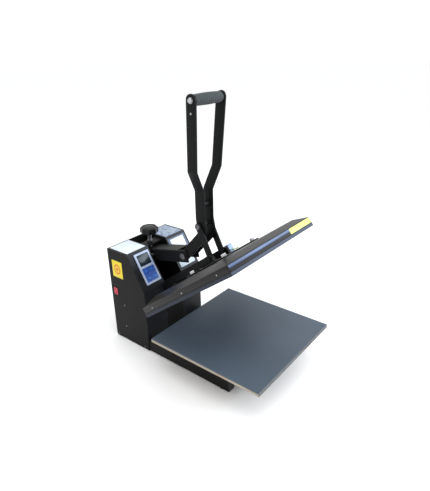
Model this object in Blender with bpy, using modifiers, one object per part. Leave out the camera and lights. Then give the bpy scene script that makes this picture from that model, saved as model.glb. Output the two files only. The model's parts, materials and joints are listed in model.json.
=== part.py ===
"""Clamshell heat press, modelled open: a heated platen on a toggle linkage over a padded lower platen.

Metres, +Z up, +Y to the rear, +X to the right of someone standing in front. The origin is on the floor
under the middle of the machine. The arm's pieces are modelled closed, as they are drawn and made, and
the empty on the arm's pivot swings them open together.
"""

from math import acos, atan2, cos, hypot, pi, radians, sin, sqrt

import bmesh
import bpy
from mathutils import Matrix, Vector

# ---- driving dimensions ---------------------------------------------------------------------------
GAP = 0.0003  # between pieces that touch
RUNNING = 0.0004  # radial play of a hole on its shaft
SHEET = 0.002  # casing panels
WALL = 0.004  # load-bearing inner walls of the towers

BODY_WIDTH = 0.263
BODY_FRONT = 0.150
BODY_DEPTH = 0.158
BODY_TOP = 0.327
SLANT_RUN = 0.0685  # how far the control face leans back
SLANT_RISE = 0.113  # and how much height it takes
CHANNEL_PLAY = 0.002  # between an arm bar and the tower beside it
CHANNEL_FLOOR = 0.128

FOOT_HEIGHT = 0.003
FOOT_RADIUS = 0.011
FOOT_SETBACK = 0.030  # from each end of the base to a pad's middle
LEG_WIDTH = 0.025
LEG_HEIGHT = 0.037
LEG_WALL = 0.002
LEG_SETBACK = 0.139  # the legs end this far behind the platen's front edge
LEG_CAP = 0.003
LEG_CAP_PLUG = 0.012  # how far a cap reaches into its tube
CROSS_WIDTH = 0.030
CROSS_LIFT = 0.004  # the cross members clear the floor by this much more than the legs
CROSS_SETBACK = 0.045  # of the front one, from the legs' ends
CROSS_INSET = 0.008  # of the rear one, from the pedestal's rear edge

PLATEN_SIZE = 0.380
PLATEN_TOP = 0.119  # top of the silicone pad
PLATEN_TO_BODY = 0.081
PAD_THICKNESS = 0.004
BOARD_THICKNESS = 0.0075
PEDESTAL_SIZE = (0.170, 0.250)

JAW_GAP = 0.002  # left between the closed platens for the cloth
HEATER_OVERHANG = 0.008  # the heater is this much wider than the lower platen on each side
HEATER_LENGTH = 0.383
HEATER_THICKNESS = 0.010
INSULATION_THICKNESS = 0.006
COVER_SIDE = 0.018  # upright part of the cover
COVER_RISE = 0.015  # height of its bevelled part
COVER_BEVEL = 0.030  # width of its bevelled part
COVER_SHEET = 0.0012
INSULATION_EDGE = 0.002  # inside the cover's sheet
MOUNT_PLATE = (0.160, 0.170, 0.004)
TERMINAL_BOX = (0.022, 0.032, 0.025)
TERMINAL_BOX_XY = (0.067, 0.032)  # right of the middle and behind the middle of the platen

OPENING = radians(37.07)
ARM_PIVOT = (BODY_FRONT + 0.0305, PLATEN_TOP + 0.0412)
ARM_SHAFT_RADIUS = 0.008
ARM_BAR_THICKNESS = 0.008
ARM_BAR_TOP = 0.0725  # above the lower platen
ARM_BAR_NOSE = 0.020  # ahead of the clevis stud
ARM_BAR_HEEL = 0.020  # behind the heater, where the bar starts to climb to its boss
ARM_BAR_NECK = 0.060  # ahead of the pivot, where its level top ends
ARM_BAR_CORNER = 0.012
ARM_BOSS_RADIUS = 0.024
HUB_RADIUS = 0.015
CLEVIS_FROM_PIVOT = (-0.2826, 0.0232)  # closed
CLEVIS_STUD_RADIUS = 0.009
STUD_END = 0.0075  # how far its head stands out from the bar's middle
END_PLAY = 0.0008  # between a headed pin's head and what it holds
ARM_SHAFT_HEAD = (0.013, 0.005)  # radius and height
YOKE_SHAFT_HEAD = (0.012, 0.004)
LEVER_SHAFT_HEAD = (0.012, 0.004)
LINK_SHAFT_HEAD = (0.010, 0.0035)
GRIP_BOLT_HEAD = (0.008, 0.003)

SPRING_WIRE_RADIUS = 0.0015
SPRING_TURNS = 7
SPRING_HALF = 0.024
SPRING_CLEARANCE = 0.0027  # between the wire and the hub
SPRING_TAILS = (0.012, 0.020)  # down at the left end, up at the right

YOKE_SHAFT = (BODY_FRONT + 0.064, BODY_TOP - 0.0365)
YOKE_SHAFT_RADIUS = 0.007
YOKE_REACH = (-0.137, 0.032)  # from the yoke's shaft to the lever's
YOKE_WALL = 0.004
YOKE_PLAY = 0.001  # between a lever bar and the yoke's wall
YOKE_DEPTH = 0.040
YOKE_NOSE = 0.017
YOKE_MOUTH = 0.022  # how far behind the lever's shaft the yoke's top stops, clear of the lever
YOKE_TAIL = 0.054

SCREW_BEHIND_SHAFT = 0.035
SCREW_RADIUS = 0.006
SCREW_HEAD_PLAY = 0.0025  # the tilting yoke never touches the screw
BRIDGE_Z = BODY_TOP - 0.0125
BRIDGE_THICKNESS = 0.005
BRIDGE_DEPTH = 0.032
COLLAR_RADIUS = 0.0085
KNOB_BASE = BODY_TOP + 0.026
KNOB_HEIGHT = 0.020
KNOB_RADIUS = 0.030
KNOB_LOBES = 8
KNOB_FLUTE = 0.0022

CRANK = 0.1305  # lever shaft to link shaft
LEVER_SHAFT_RADIUS = 0.008
LEVER_PINCH_X = 0.019  # and on down to the shaft, inside the yoke
LEVER_BEND_X = 0.052
LEVER_TOP_X = 0.060
LEVER_THICKNESS = 0.006
LEVER_WIDTH = 0.032
LEVER_SIDE_BEND = 0.030  # inner radius of the bends seen from the side
LEVER_FRONT_BEND = 0.010  # and of those seen from the front
GRIP_FROM_SHAFT = (-0.086, 0.4615)
BEND_FROM_SHAFT = (-0.074, 0.2765)
PINCH_FROM_SHAFT = (-0.068, 0.2165)
RUN_END_FROM_SHAFT = (-0.068, 0.1325)
KNEE_FROM_SHAFT = (-0.077, 0.0875)
GRIP_RADIUS = 0.0155
GRIP_CROWN = 0.0018  # how much thinner it gets towards its ends
GRIP_END_ROUNDING = 0.004
GRIP_BOLT_RADIUS = 0.005
SPACER_RADIUS = 0.009

LINK_GAP = 0.0015  # from a link to the lever bar inside it and to the arm bar outside it
LINK_THICKNESS = 0.006
LINK_WIDTH = 0.021
LINK_SHAFT_RADIUS = 0.006
LINK_BOLT_RADIUS = 0.0085
LINK_BOLT_HEAD = 0.0035

BEZEL = (0.060, 0.104, 0.004)
BEZEL_X = 0.0785  # left of the middle
BEZEL_DOWN = 0.010  # from the top edge of the control face
BEZEL_MARGIN = 0.007  # from its ends to its windows
BEZEL_LAP = 0.004  # over the opening in the sheet
BOARD_DEPTH = 0.0164  # the controller's board behind the control face
BOARD_SHEET = 0.0016
LENS = (0.046, 0.036)
LENS_SUNK = 0.0012
KEYPAD = (0.048, 0.046)
KEYPAD_SUNK = 0.0004
INSERT_LIFT = 0.0008  # of the lens and the keypad off the control face
KEY = 0.011
KEY_TRAVEL = 0.0008

SWITCH_YZ = (BODY_FRONT + 0.136, 0.180)
SWITCH_SIZE = (0.014, 0.021)
SWITCH_TILT = radians(9)
SWITCH_FLANGE = 0.0018
SWITCH_WALL = 0.0018
SWITCH_DEPTH = 0.018
ROCKER_RADIUS = 0.0105
ROCKER_INSET = 0.0078  # its pivot, inside the side plate's face
ROCKER_PLAY = 0.0006
INLET_XZ = (-0.075, 0.075)
INLET_SIZE = (0.050, 0.032)
INLET_LAP = (0.010, 0.003)  # of its flange over the sheet, across and up
INLET_FLANGE = 0.0027
INLET_DEPTH = 0.022
INLET_WALL = 0.003
INLET_BACK = 0.005
RELAY_SIZE = (0.044, 0.058, 0.026)
RELAY_FROM_REAR = 0.070
VENT_ROWS = 6
VENT_PITCH = 0.014
VENT_DOWN = 0.060  # from the top of the rear sheet to the first slot
VENT_HALF = (0.020, 0.002)

# ---- derived places -------------------------------------------------------------------------------
HALF = BODY_WIDTH / 2
BODY_REAR = BODY_FRONT + BODY_DEPTH
IN_SIDE = HALF - SHEET - GAP  # just inside a side plate
LINK_X = LEVER_PINCH_X + LEVER_THICKNESS / 2 + LINK_GAP + LINK_THICKNESS / 2
ARM_BAR_X = LINK_X + LINK_THICKNESS / 2 + LINK_GAP + ARM_BAR_THICKNESS / 2
YOKE_WIDTH = 2 * (LEVER_PINCH_X + LEVER_THICKNESS / 2 + YOKE_PLAY + YOKE_WALL)
CHANNEL = ARM_BAR_X + ARM_BAR_THICKNESS / 2 + CHANNEL_PLAY  # half of the space between the towers
LEG_TOP = FOOT_HEIGHT + LEG_HEIGHT
BASE_TOP = LEG_TOP + GAP + SHEET
PLATEN_REAR = BODY_FRONT - PLATEN_TO_BODY
PLATEN_FRONT = PLATEN_REAR - PLATEN_SIZE
PLATEN_MIDDLE = (PLATEN_REAR + PLATEN_FRONT) / 2
PEDESTAL_REAR = PLATEN_MIDDLE + PEDESTAL_SIZE[1] / 2
LEG_FRONT = PLATEN_FRONT + LEG_SETBACK
HEATER_HALF = PLATEN_SIZE / 2 + HEATER_OVERHANG
HEATER_REAR = PLATEN_REAR + (HEATER_LENGTH - PLATEN_SIZE) / 2
HEATER_FRONT = HEATER_REAR - HEATER_LENGTH
HEATER_BOTTOM = PLATEN_TOP + JAW_GAP
COVER_BOTTOM = HEATER_BOTTOM + HEATER_THICKNESS + GAP
COVER_TOP = COVER_BOTTOM + COVER_SIDE + COVER_RISE
MOUNT_TOP = COVER_TOP + GAP + MOUNT_PLATE[2]

LEVER_SHAFT = (YOKE_SHAFT[0] + YOKE_REACH[0], YOKE_SHAFT[1] + YOKE_REACH[1])
CLEVIS_CLOSED = (ARM_PIVOT[0] + CLEVIS_FROM_PIVOT[0], ARM_PIVOT[1] + CLEVIS_FROM_PIVOT[1])


def swung(point, about, angle):
    """A (y, z) point turned about another, by the right-hand rule about +X."""
    y, z = point[0] - about[0], point[1] - about[1]
    return (about[0] + y * cos(angle) - z * sin(angle), about[1] + y * sin(angle) + z * cos(angle))


def from_lever_shaft(offset):
    return (LEVER_SHAFT[0] + offset[0], LEVER_SHAFT[1] + offset[1])


# The toggle is straight when the press is closed, so the link is as long as what the crank leaves.
# Open, its upper shaft is where a circle of the crank's radius meets one of the link's.
CLEVIS_OPEN = swung(CLEVIS_CLOSED, ARM_PIVOT, -OPENING)
LINK = hypot(CLEVIS_CLOSED[0] - LEVER_SHAFT[0], CLEVIS_CLOSED[1] - LEVER_SHAFT[1]) - CRANK
TOGGLE_OPEN = hypot(CLEVIS_OPEN[0] - LEVER_SHAFT[0], CLEVIS_OPEN[1] - LEVER_SHAFT[1])
TOGGLE_CORNER = acos((CRANK**2 + TOGGLE_OPEN**2 - LINK**2) / (2 * CRANK * TOGGLE_OPEN))
TOWARDS_CLEVIS = atan2(CLEVIS_OPEN[1] - LEVER_SHAFT[1], CLEVIS_OPEN[0] - LEVER_SHAFT[0])
LINK_SHAFT = from_lever_shaft(
    (CRANK * cos(TOWARDS_CLEVIS - TOGGLE_CORNER), CRANK * sin(TOWARDS_CLEVIS - TOGGLE_CORNER))
)
GRIP = from_lever_shaft(GRIP_FROM_SHAFT)
SPACER = from_lever_shaft(
    ((PINCH_FROM_SHAFT[0] + RUN_END_FROM_SHAFT[0]) / 2, (PINCH_FROM_SHAFT[1] + RUN_END_FROM_SHAFT[1]) / 2)
)
SCREW_Y = YOKE_SHAFT[0] + SCREW_BEHIND_SHAFT
SLANT = atan2(SLANT_RISE, SLANT_RUN)
YOKE_SLOPE = atan2(YOKE_REACH[1], -YOKE_REACH[0])

# ---- finishes -------------------------------------------------------------------------------------
FINISHES = {
    "black_coat": ((0.018, 0.018, 0.017), 0.45, 0.0),
    "bare_steel": ((0.50, 0.51, 0.52), 0.35, 1.0),
    "spring_steel": ((0.22, 0.22, 0.23), 0.4, 1.0),
    "aluminium": ((0.62, 0.63, 0.64), 0.4, 1.0),
    "glazed_cover": ((0.06, 0.075, 0.11), 0.25, 0.3),
    "silicone": ((0.055, 0.075, 0.095), 0.7, 0.0),
    "pale_board": ((0.55, 0.52, 0.46), 0.7, 0.0),
    "rubber": ((0.012, 0.012, 0.012), 0.8, 0.0),
    "foam": ((0.05, 0.065, 0.07), 0.85, 0.0),
    "moulded": ((0.012, 0.012, 0.013), 0.4, 0.0),
    "galvanised": ((0.42, 0.50, 0.66), 0.35, 0.8),
    "bezel": ((0.42, 0.48, 0.58), 0.4, 0.2),
    "lens": ((0.02, 0.04, 0.055), 0.15, 0.0),
    "keypad": ((0.03, 0.09, 0.42), 0.5, 0.0),
    "key": ((0.06, 0.16, 0.60), 0.5, 0.0),
    "red": ((0.55, 0.02, 0.03), 0.35, 0.0),
    "insulation": ((0.55, 0.53, 0.45), 0.9, 0.0),
    "board": ((0.02, 0.16, 0.06), 0.5, 0.0),
}

PLANES = {
    "XY": Matrix.Identity(4),
    "XZ": Matrix(((1, 0, 0), (0, 0, -1), (0, 1, 0))).to_4x4(),
    "YZ": Matrix(((0, 0, 1), (1, 0, 0), (0, 1, 0))).to_4x4(),
}
TURNED_TO = {
    "X": Matrix.Rotation(radians(90), 4, "Y"),
    "Y": Matrix.Rotation(radians(-90), 4, "X"),
    "Z": Matrix.Identity(4),
}


def clear_scene():
    """Starts from an empty file."""
    for obj in list(bpy.data.objects):
        bpy.data.objects.remove(obj, do_unlink=True)


def new_collection(name):
    collection = bpy.data.collections.new(name)
    bpy.context.scene.collection.children.link(collection)
    return collection


clear_scene()
PARTS = new_collection("heat_press")
CUTTERS = new_collection("heat_press_cutters")


# ---- making and cutting ---------------------------------------------------------------------------
def finish_of(kind, name):
    """A Principled material of one of the finishes, named for the piece that wears it."""
    colour, roughness, metallic = FINISHES[kind]
    material = bpy.data.materials.new(name)
    material.use_nodes = True
    shader = material.node_tree.nodes["Principled BSDF"]
    shader.inputs["Base Color"].default_value = (*colour, 1.0)
    shader.inputs["Roughness"].default_value = roughness
    shader.inputs["Metallic"].default_value = metallic
    material.diffuse_color = (*colour, 1.0)
    return material


def place(mesh, name, kind, matrix):
    """Puts a mesh in the scene, as a part with a finish or, with no finish, as a cutter."""
    obj = bpy.data.objects.new(name, mesh)
    obj.matrix_world = matrix
    if kind is None:
        CUTTERS.objects.link(obj)
        obj.hide_render = True
        obj.display_type = "WIRE"
    else:
        PARTS.objects.link(obj)
        mesh.materials.append(finish_of(kind, name))
    return obj


def mesh_of(bm, name):
    mesh = bpy.data.meshes.new(name)
    bm.to_mesh(mesh)
    bm.free()
    return mesh


def soften(obj, width, segments=2):
    """Rounds the sharp edges."""
    bevel = obj.modifiers.new("rounded", "BEVEL")
    bevel.width = width
    bevel.segments = segments
    bevel.limit_method = "ANGLE"
    bevel.angle_limit = radians(40)
    return obj


def block(name, low, high, kind=None, rounded=0.0, frame=None):
    """A box between two corners, given in the world or in a frame's own axes."""
    low, high = Vector(low), Vector(high)
    bm = bmesh.new()
    bmesh.ops.create_cube(bm, size=1.0, matrix=Matrix.Diagonal((*(high - low), 1.0)))
    middle = Matrix.Translation((low + high) / 2)
    obj = place(mesh_of(bm, name), name, kind, (frame or Matrix.Identity(4)) @ middle)
    return soften(obj, rounded) if rounded else obj


def rod(name, axis, middle, radius, length, kind=None, sides=32):
    """A round bar about its middle, along X, Y or Z."""
    bm = bmesh.new()
    bmesh.ops.create_cone(bm, cap_ends=True, segments=sides, radius1=radius, radius2=radius, depth=length)
    mesh = mesh_of(bm, name)
    mesh.shade_smooth()
    mesh.set_sharp_from_angle(angle=radians(35))
    return place(mesh, name, kind, Matrix.Translation(middle) @ TURNED_TO[axis])


def turned(name, axis, middle, profile, kind=None, steps=32):
    """A turned piece: (radius, height) points down its outer side, from pole to pole or round a bore."""
    bm = bmesh.new()
    points = [bm.verts.new((radius, 0, height)) for radius, height in profile]
    for one, two in zip(points, points[1:]):
        bm.edges.new((one, two))
    if profile[0][0] > 0:
        bm.edges.new((points[-1], points[0]))
    obj = place(mesh_of(bm, name), name, kind, Matrix.Translation(middle) @ TURNED_TO[axis])
    screw = obj.modifiers.new("turned", "SCREW")
    screw.steps = screw.render_steps = steps
    screw.use_merge_vertices = True
    screw.merge_threshold = 0.00001
    return obj


def headed(radius, half, head_radius, head):
    """The profile of a pin with a head at each end, its shank 2 * half long."""
    upper = [(0, half + head), (head_radius, half + head), (head_radius, half), (radius, half)]
    return upper + [(r, -h) for r, h in reversed(upper)]


def circle(centre, radius, sides=32):
    """Points round a circle."""
    turns = [2 * pi * i / sides for i in range(sides)]
    return [(centre[0] + radius * cos(t), centre[1] + radius * sin(t)) for t in turns]


def plate(name, plane, outline, start, thickness, kind=None, holes=()):
    """A flat outline with holes, thickened from start along the normal of its plane."""
    curve = bpy.data.curves.new(name, "CURVE")
    curve.dimensions = "2D"
    curve.fill_mode = "BOTH"
    curve.extrude = thickness / 2
    for ring in (outline, *holes):
        spline = curve.splines.new("POLY")
        spline.points.add(len(ring) - 1)
        spline.use_cyclic_u = True
        for point, (a, b) in zip(spline.points, ring):
            point.co = (a, b, 0, 1)
    flat = bpy.data.objects.new(name, curve)
    bpy.context.scene.collection.objects.link(flat)
    graph = bpy.context.evaluated_depsgraph_get()
    mesh = bpy.data.meshes.new_from_object(flat.evaluated_get(graph))
    bpy.data.objects.remove(flat)
    bm = bmesh.new()
    bm.from_mesh(mesh)
    bmesh.ops.remove_doubles(bm, verts=bm.verts, dist=0.00001)
    bmesh.ops.recalc_face_normals(bm, faces=bm.faces)
    bm.to_mesh(mesh)
    bm.free()
    mesh.name = name
    mesh.materials.clear()
    offset = Matrix.Translation((0, 0, start + thickness / 2))
    return place(mesh, name, kind, PLANES[plane] @ offset)


def boolean(obj, other, operation):
    """Cuts, joins or intersects obj with another, which then follows it."""
    other.parent = obj
    other.matrix_parent_inverse = obj.matrix_basis.inverted()
    modifier = obj.modifiers.new(other.name, "BOOLEAN")
    modifier.object = other
    modifier.operation = operation
    modifier.solver = "EXACT"
    return obj


def cut(obj, *others):
    for other in others:
        boolean(obj, other, "DIFFERENCE")
    return obj


def join(obj, *others):
    for other in others:
        boolean(obj, other, "UNION")
    return obj


def pivot(name, point, turn=0.0):
    """An empty on a joint's axis, turned about X."""
    empty = bpy.data.objects.new(name, None)
    PARTS.objects.link(empty)
    empty.location = point
    empty.rotation_euler = (turn, 0, 0)
    return empty


def hang(empty, *objs):
    """Hangs pieces, made where they stand at the empty's zero turn, on a joint's empty."""
    for obj in objs:
        obj.parent = empty
        obj.matrix_parent_inverse = Matrix.Translation(empty.location).inverted()


# ---- outlines -------------------------------------------------------------------------------------
def bent(points, radius, steps=5):
    """A path with each inner corner taken round an arc of the given radius."""
    path = [Vector(points[0])]
    for before, corner, after in zip(points, points[1:], points[2:]):
        corner = Vector(corner)
        back, on = (Vector(before) - corner).normalized(), (Vector(after) - corner).normalized()
        half = acos(max(-1.0, min(1.0, back.dot(on)))) / 2
        reach = radius / max(sin(half) / cos(half), 0.001)
        middle = corner + (back + on).normalized() * (radius / sin(half))
        start, end = corner + back * reach - middle, corner + on * reach - middle
        turn = start.angle_signed(end, 0.0)
        path += [middle + Matrix.Rotation(-turn * i / steps, 2) @ start for i in range(steps + 1)]
    return path + [Vector(points[-1])]


def band(path, half, start_round=False, end_round=False, steps=8):
    """The outline of a strip of even width along a path, its ends square or half round."""
    path = [Vector(p) for p in path]
    along = [(b - a).normalized() for a, b in zip(path, path[1:])]
    left, right = [], []
    for i, point in enumerate(path):
        before, after = along[max(i - 1, 0)], along[min(i, len(along) - 1)]
        middle = (before + after).normalized()
        side = Vector((-middle.y, middle.x)) * (half / max(middle.dot(after), 0.2))
        left.append(point + side)
        right.append(point - side)
    ends = []
    for point, rounded, side in ((path[-1], end_round, left[-1]), (path[0], start_round, right[0])):
        turns = [pi * i / steps for i in range(1, steps)] if rounded else []
        ends.append([point + Matrix.Rotation(-t, 2) @ (side - point) for t in turns])
    return left + ends[0] + right[::-1] + ends[1]


def tower_outline(low, inset=0.0):
    """A tower from the side: upright front, control face leaning back, level top."""
    slide = inset * (1 - cos(SLANT)) / sin(SLANT)
    drop = inset * (1 - cos(pi / 2 - SLANT)) / sin(pi / 2 - SLANT)
    return [
        (BODY_FRONT + inset, low),
        (BODY_REAR - inset, low),
        (BODY_REAR - inset, BODY_TOP - inset),
        (BODY_FRONT + SLANT_RUN + slide, BODY_TOP - inset),
        (BODY_FRONT + inset, BODY_TOP - SLANT_RISE - drop),
    ]


# ---- base and lower platen ------------------------------------------------------------------------
def make_leg(side, sign):
    """A box-tube leg, its front end cap, and the rubber pads under it."""
    outer, inner = sign * IN_SIDE, sign * (IN_SIDE - LEG_WIDTH)
    low_x, high_x = sorted((outer, inner))
    rear = BODY_REAR - SHEET - GAP
    cap_rear = LEG_FRONT + LEG_CAP
    leg_low, leg_high = (low_x, cap_rear + GAP, FOOT_HEIGHT), (high_x, rear, LEG_TOP)
    leg = block(f"leg_{side}", leg_low, leg_high, "black_coat", 0.0015)
    bore_low = (low_x + LEG_WALL, LEG_FRONT - LEG_CAP, FOOT_HEIGHT + LEG_WALL)
    bore_high = (high_x - LEG_WALL, rear + LEG_CAP, LEG_TOP - LEG_WALL)
    cut(leg, block(f"leg_{side}_bore", bore_low, bore_high))
    end_low, end_high = (low_x, LEG_FRONT, FOOT_HEIGHT), (high_x, cap_rear, LEG_TOP)
    end = block(f"leg_cap_{side}", end_low, end_high, "moulded", 0.001)
    plug_low = (bore_low[0] + GAP, cap_rear - LEG_CAP / 2, bore_low[2] + GAP)
    plug_high = (bore_high[0] - GAP, LEG_FRONT + LEG_CAP_PLUG, bore_high[2] - GAP)
    join(end, block(f"leg_cap_{side}_plug", plug_low, plug_high))
    for where, y in (("front", LEG_FRONT + FOOT_SETBACK), ("rear", BODY_REAR - FOOT_SETBACK)):
        middle = ((low_x + high_x) / 2, y, (FOOT_HEIGHT - GAP) / 2)
        rod(f"foot_{where}_{side}", "Z", middle, FOOT_RADIUS, FOOT_HEIGHT - GAP, "rubber", 24)


def make_cross_member(name, front):
    """A box tube between the legs."""
    reach = IN_SIDE - LEG_WIDTH - GAP
    low, high = (-reach, front, FOOT_HEIGHT + CROSS_LIFT), (reach, front + CROSS_WIDTH, LEG_TOP)
    tube = block(name, low, high, "black_coat")
    cutter = block(
        f"{name}_bore",
        (low[0] - LEG_WALL, low[1] + LEG_WALL, low[2] + LEG_WALL),
        (high[0] + LEG_WALL, high[1] - LEG_WALL, high[2] - LEG_WALL),
    )
    return cut(tube, cutter)


def make_lower_platen():
    """Pedestal, board and silicone pad, stacked on the cross members."""
    half_x = PEDESTAL_SIZE[0] / 2
    board_top = PLATEN_TOP - PAD_THICKNESS - GAP
    board_low = board_top - BOARD_THICKNESS
    low = (-half_x, PEDESTAL_REAR - PEDESTAL_SIZE[1], LEG_TOP + GAP)
    high = (half_x, PEDESTAL_REAR, board_low - GAP)
    pedestal = block("platen_pedestal", low, high, "black_coat", 0.003)
    inner_low = (low[0] + SHEET, low[1] + SHEET, low[2] - SHEET)
    inner_high = (high[0] - SHEET, high[1] - SHEET, high[2] - SHEET)
    cut(pedestal, block("platen_pedestal_inside", inner_low, inner_high))
    half = PLATEN_SIZE / 2
    low, high = (-half, PLATEN_FRONT, board_low), (half, PLATEN_REAR, board_top)
    block("lower_platen", low, high, "pale_board", 0.0008)
    low, high = (-half, PLATEN_FRONT, board_top + GAP), (half, PLATEN_REAR, PLATEN_TOP)
    block("silicone_pad", low, high, "silicone", 0.0012)


# ---- casing ---------------------------------------------------------------------------------------
def panel_frame():
    """The control face's own axes, from the middle of its top edge: X across, Y up the slope, Z out."""
    top_edge = Matrix.Translation((0, BODY_FRONT + SLANT_RUN, BODY_TOP))
    return top_edge @ Matrix.Rotation(SLANT, 4, "X")


def make_tower(side, sign):
    """One tower: side plate, folded cover over its front and top, and load-bearing inner wall."""
    outer_start = sign * HALF - (SHEET if sign > 0 else 0)
    holes = []
    if side == "left":
        y, z = SWITCH_YZ
        a, b = SWITCH_SIZE[0] / 2 + GAP, SWITCH_SIZE[1] / 2 + GAP
        holes = [[(y - a, z - b), (y + a, z - b), (y + a, z + b), (y - a, z + b)]]
    side_view = tower_outline(FOOT_HEIGHT)
    plate(f"side_plate_{side}", "YZ", side_view, outer_start, SHEET, "black_coat", holes)

    low_z = BASE_TOP + GAP
    outer = tower_outline(low_z)
    inner = tower_outline(low_z, SHEET)
    rear = BODY_REAR - SHEET - GAP
    ends = [(rear, BODY_TOP), (rear, BODY_TOP - SHEET)]
    strip = [outer[0], inner[0], inner[4], inner[3], ends[1], ends[0], outer[3], outer[4]]
    width = IN_SIDE - CHANNEL
    start = -IN_SIDE if sign < 0 else CHANNEL
    cover = plate(f"tower_cover_{side}", "YZ", strip, start, width, "black_coat")

    wall_start = sign * CHANNEL - (WALL if sign < 0 else 0)
    shafts = [
        circle(ARM_PIVOT, ARM_SHAFT_RADIUS + RUNNING),
        circle(YOKE_SHAFT, YOKE_SHAFT_RADIUS + RUNNING),
    ]
    inner_view = tower_outline(low_z, SHEET + GAP)
    plate(f"inner_wall_{side}", "YZ", inner_view, wall_start, WALL, "black_coat", shafts)
    return cover


def make_casing():
    """Both towers and the panels that close the body."""
    left_cover = make_tower("left", -1)
    make_tower("right", 1)
    frame = panel_frame()
    reach, through = BEZEL[0] / 2 - BEZEL_LAP, 10 * SHEET
    top, bottom = -BEZEL_DOWN - BEZEL_LAP, -BEZEL_DOWN - BEZEL[1] + BEZEL_LAP
    opening_low, opening_high = (-BEZEL_X - reach, bottom, -through), (-BEZEL_X + reach, top, through)
    cut(left_cover, block("panel_opening", opening_low, opening_high, frame=frame))

    inside_rear = BODY_REAR - SHEET - GAP
    block(
        "base_plate",
        (-IN_SIDE, BODY_FRONT + SHEET + GAP, LEG_TOP + GAP),
        (IN_SIDE, inside_rear, BASE_TOP),
        "black_coat",
    )
    reach = CHANNEL - GAP
    block(
        "front_panel",
        (-reach, BODY_FRONT, BASE_TOP + GAP),
        (reach, BODY_FRONT + SHEET, CHANNEL_FLOOR + SHEET),
        "black_coat",
    )
    block(
        "channel_floor",
        (-reach, BODY_FRONT + SHEET + GAP, CHANNEL_FLOOR),
        (reach, inside_rear, CHANNEL_FLOOR + SHEET),
        "black_coat",
    )
    make_rear_cover()


def make_rear_cover():
    """The rear sheet with two columns of cooling slots and the mains inlet's opening."""
    start, z_low, z_high = BODY_REAR - SHEET, FOOT_HEIGHT, BODY_TOP
    outline = [(-IN_SIDE, z_low), (IN_SIDE, z_low), (IN_SIDE, z_high), (-IN_SIDE, z_high)]
    slots = []
    for column in (-1, 1):
        for row in range(VENT_ROWS):
            x, z = column * (IN_SIDE + CHANNEL) / 2, z_high - VENT_DOWN - VENT_PITCH * row
            path = [(x - VENT_HALF[0], z), (x + VENT_HALF[0], z)]
            slots.append([(p.x, p.y) for p in band(path, VENT_HALF[1], True, True, 4)])
    x, z = INLET_XZ
    wide, high = INLET_SIZE[0] / 2, INLET_SIZE[1] / 2
    a, b = wide - INLET_LAP[0], high - INLET_LAP[1]
    inlet = [(x - a, z - b), (x + a, z - b), (x + a, z + b), (x - a, z + b)]
    # The plane's normal is -Y, so the sheet starts at minus its rear face.
    plate("rear_cover", "XZ", outline, -(start + SHEET), SHEET, "black_coat", [*slots, inlet])
    face = BODY_REAR + GAP
    low, high = (x - wide, face, z - high), (x + wide, face + INLET_FLANGE, z + high)
    body = block("power_inlet", low, high, "moulded", 0.0008)
    low = (x - a + GAP, BODY_REAR - INLET_DEPTH, z - b + GAP)
    high = (x + a - GAP, face + SHEET / 2, z + b - GAP)
    join(body, block("power_inlet_body", low, high))
    a, b = a - INLET_WALL, b - INLET_WALL
    low = (x - a, BODY_REAR - INLET_DEPTH + INLET_BACK, z - b)
    high = (x + a, face + 2 * INLET_FLANGE, z + b)
    cut(body, block("power_inlet_recess", low, high))


def make_electrics():
    """What the towers hold: the controller's board behind its panel, and the heater's relay."""
    frame = panel_frame()
    half = BEZEL[0] / 2 - BEZEL_LAP - SHEET
    bottom, top = -BEZEL_DOWN - BEZEL[1] + 2 * BEZEL_LAP, -BEZEL_DOWN - 2 * BEZEL_LAP
    low = (-BEZEL_X - half, bottom, -BOARD_DEPTH - BOARD_SHEET)
    block("controller_board", low, (-BEZEL_X + half, top, -BOARD_DEPTH), "board", frame=frame)
    x, y = (IN_SIDE + CHANNEL) / 2, BODY_REAR - RELAY_FROM_REAR
    a, b, height = RELAY_SIZE[0] / 2, RELAY_SIZE[1] / 2, RELAY_SIZE[2]
    floor = BASE_TOP + GAP
    block("heater_relay", (x - a, y - b, floor), (x + a, y + b, floor + height), "moulded", 0.001)


def make_control_panel():
    """Bezel, display lens, keypad and its four keys on the left tower's slanted face."""
    frame = panel_frame()
    base, face = GAP, GAP + BEZEL[2]
    half, top, bottom = BEZEL[0] / 2, -BEZEL_DOWN, -BEZEL_DOWN - BEZEL[1]
    low, high = (-BEZEL_X - half, bottom, base), (-BEZEL_X + half, top, face)
    bezel = block("control_bezel", low, high, "bezel", 0.001, frame)
    keypad_bottom = bottom + BEZEL_MARGIN
    windows = {
        "display_lens": (LENS, top - BEZEL_MARGIN - LENS[1], LENS_SUNK, "lens"),
        "keypad": (KEYPAD, keypad_bottom, KEYPAD_SUNK, "keypad"),
    }
    for name, (size, low_y, sunk, kind) in windows.items():
        low_x, high_x, high_y = -BEZEL_X - size[0] / 2, -BEZEL_X + size[0] / 2, low_y + size[1]
        hole_low, hole_high = (low_x - GAP, low_y - GAP, -face), (high_x + GAP, high_y + GAP, 2 * face)
        cut(bezel, block(f"{name}_window", hole_low, hole_high, frame=frame))
        low, high = (low_x, low_y, base + INSERT_LIFT), (high_x, high_y, face - sunk)
        insert = block(name, low, high, kind, frame=frame)
    a = KEY / 2
    for column, across in ((-1, "left"), (1, "right")):
        for row, up in enumerate(("lower", "upper")):
            x = -BEZEL_X + column * KEYPAD[0] / 4
            y = keypad_bottom + KEYPAD[1] * (0.25 + 0.5 * row)
            well_low, well_high = (x - a - GAP, y - a - GAP, -face), (x + a + GAP, y + a + GAP, 2 * face)
            cut(insert, block(f"key_well_{up}_{across}", well_low, well_high, frame=frame))
            low, high = (x - a, y - a, base), (x + a, y + a, face + KEY_TRAVEL)
            block(f"key_{up}_{across}", low, high, "key", 0.0006, frame)


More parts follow.
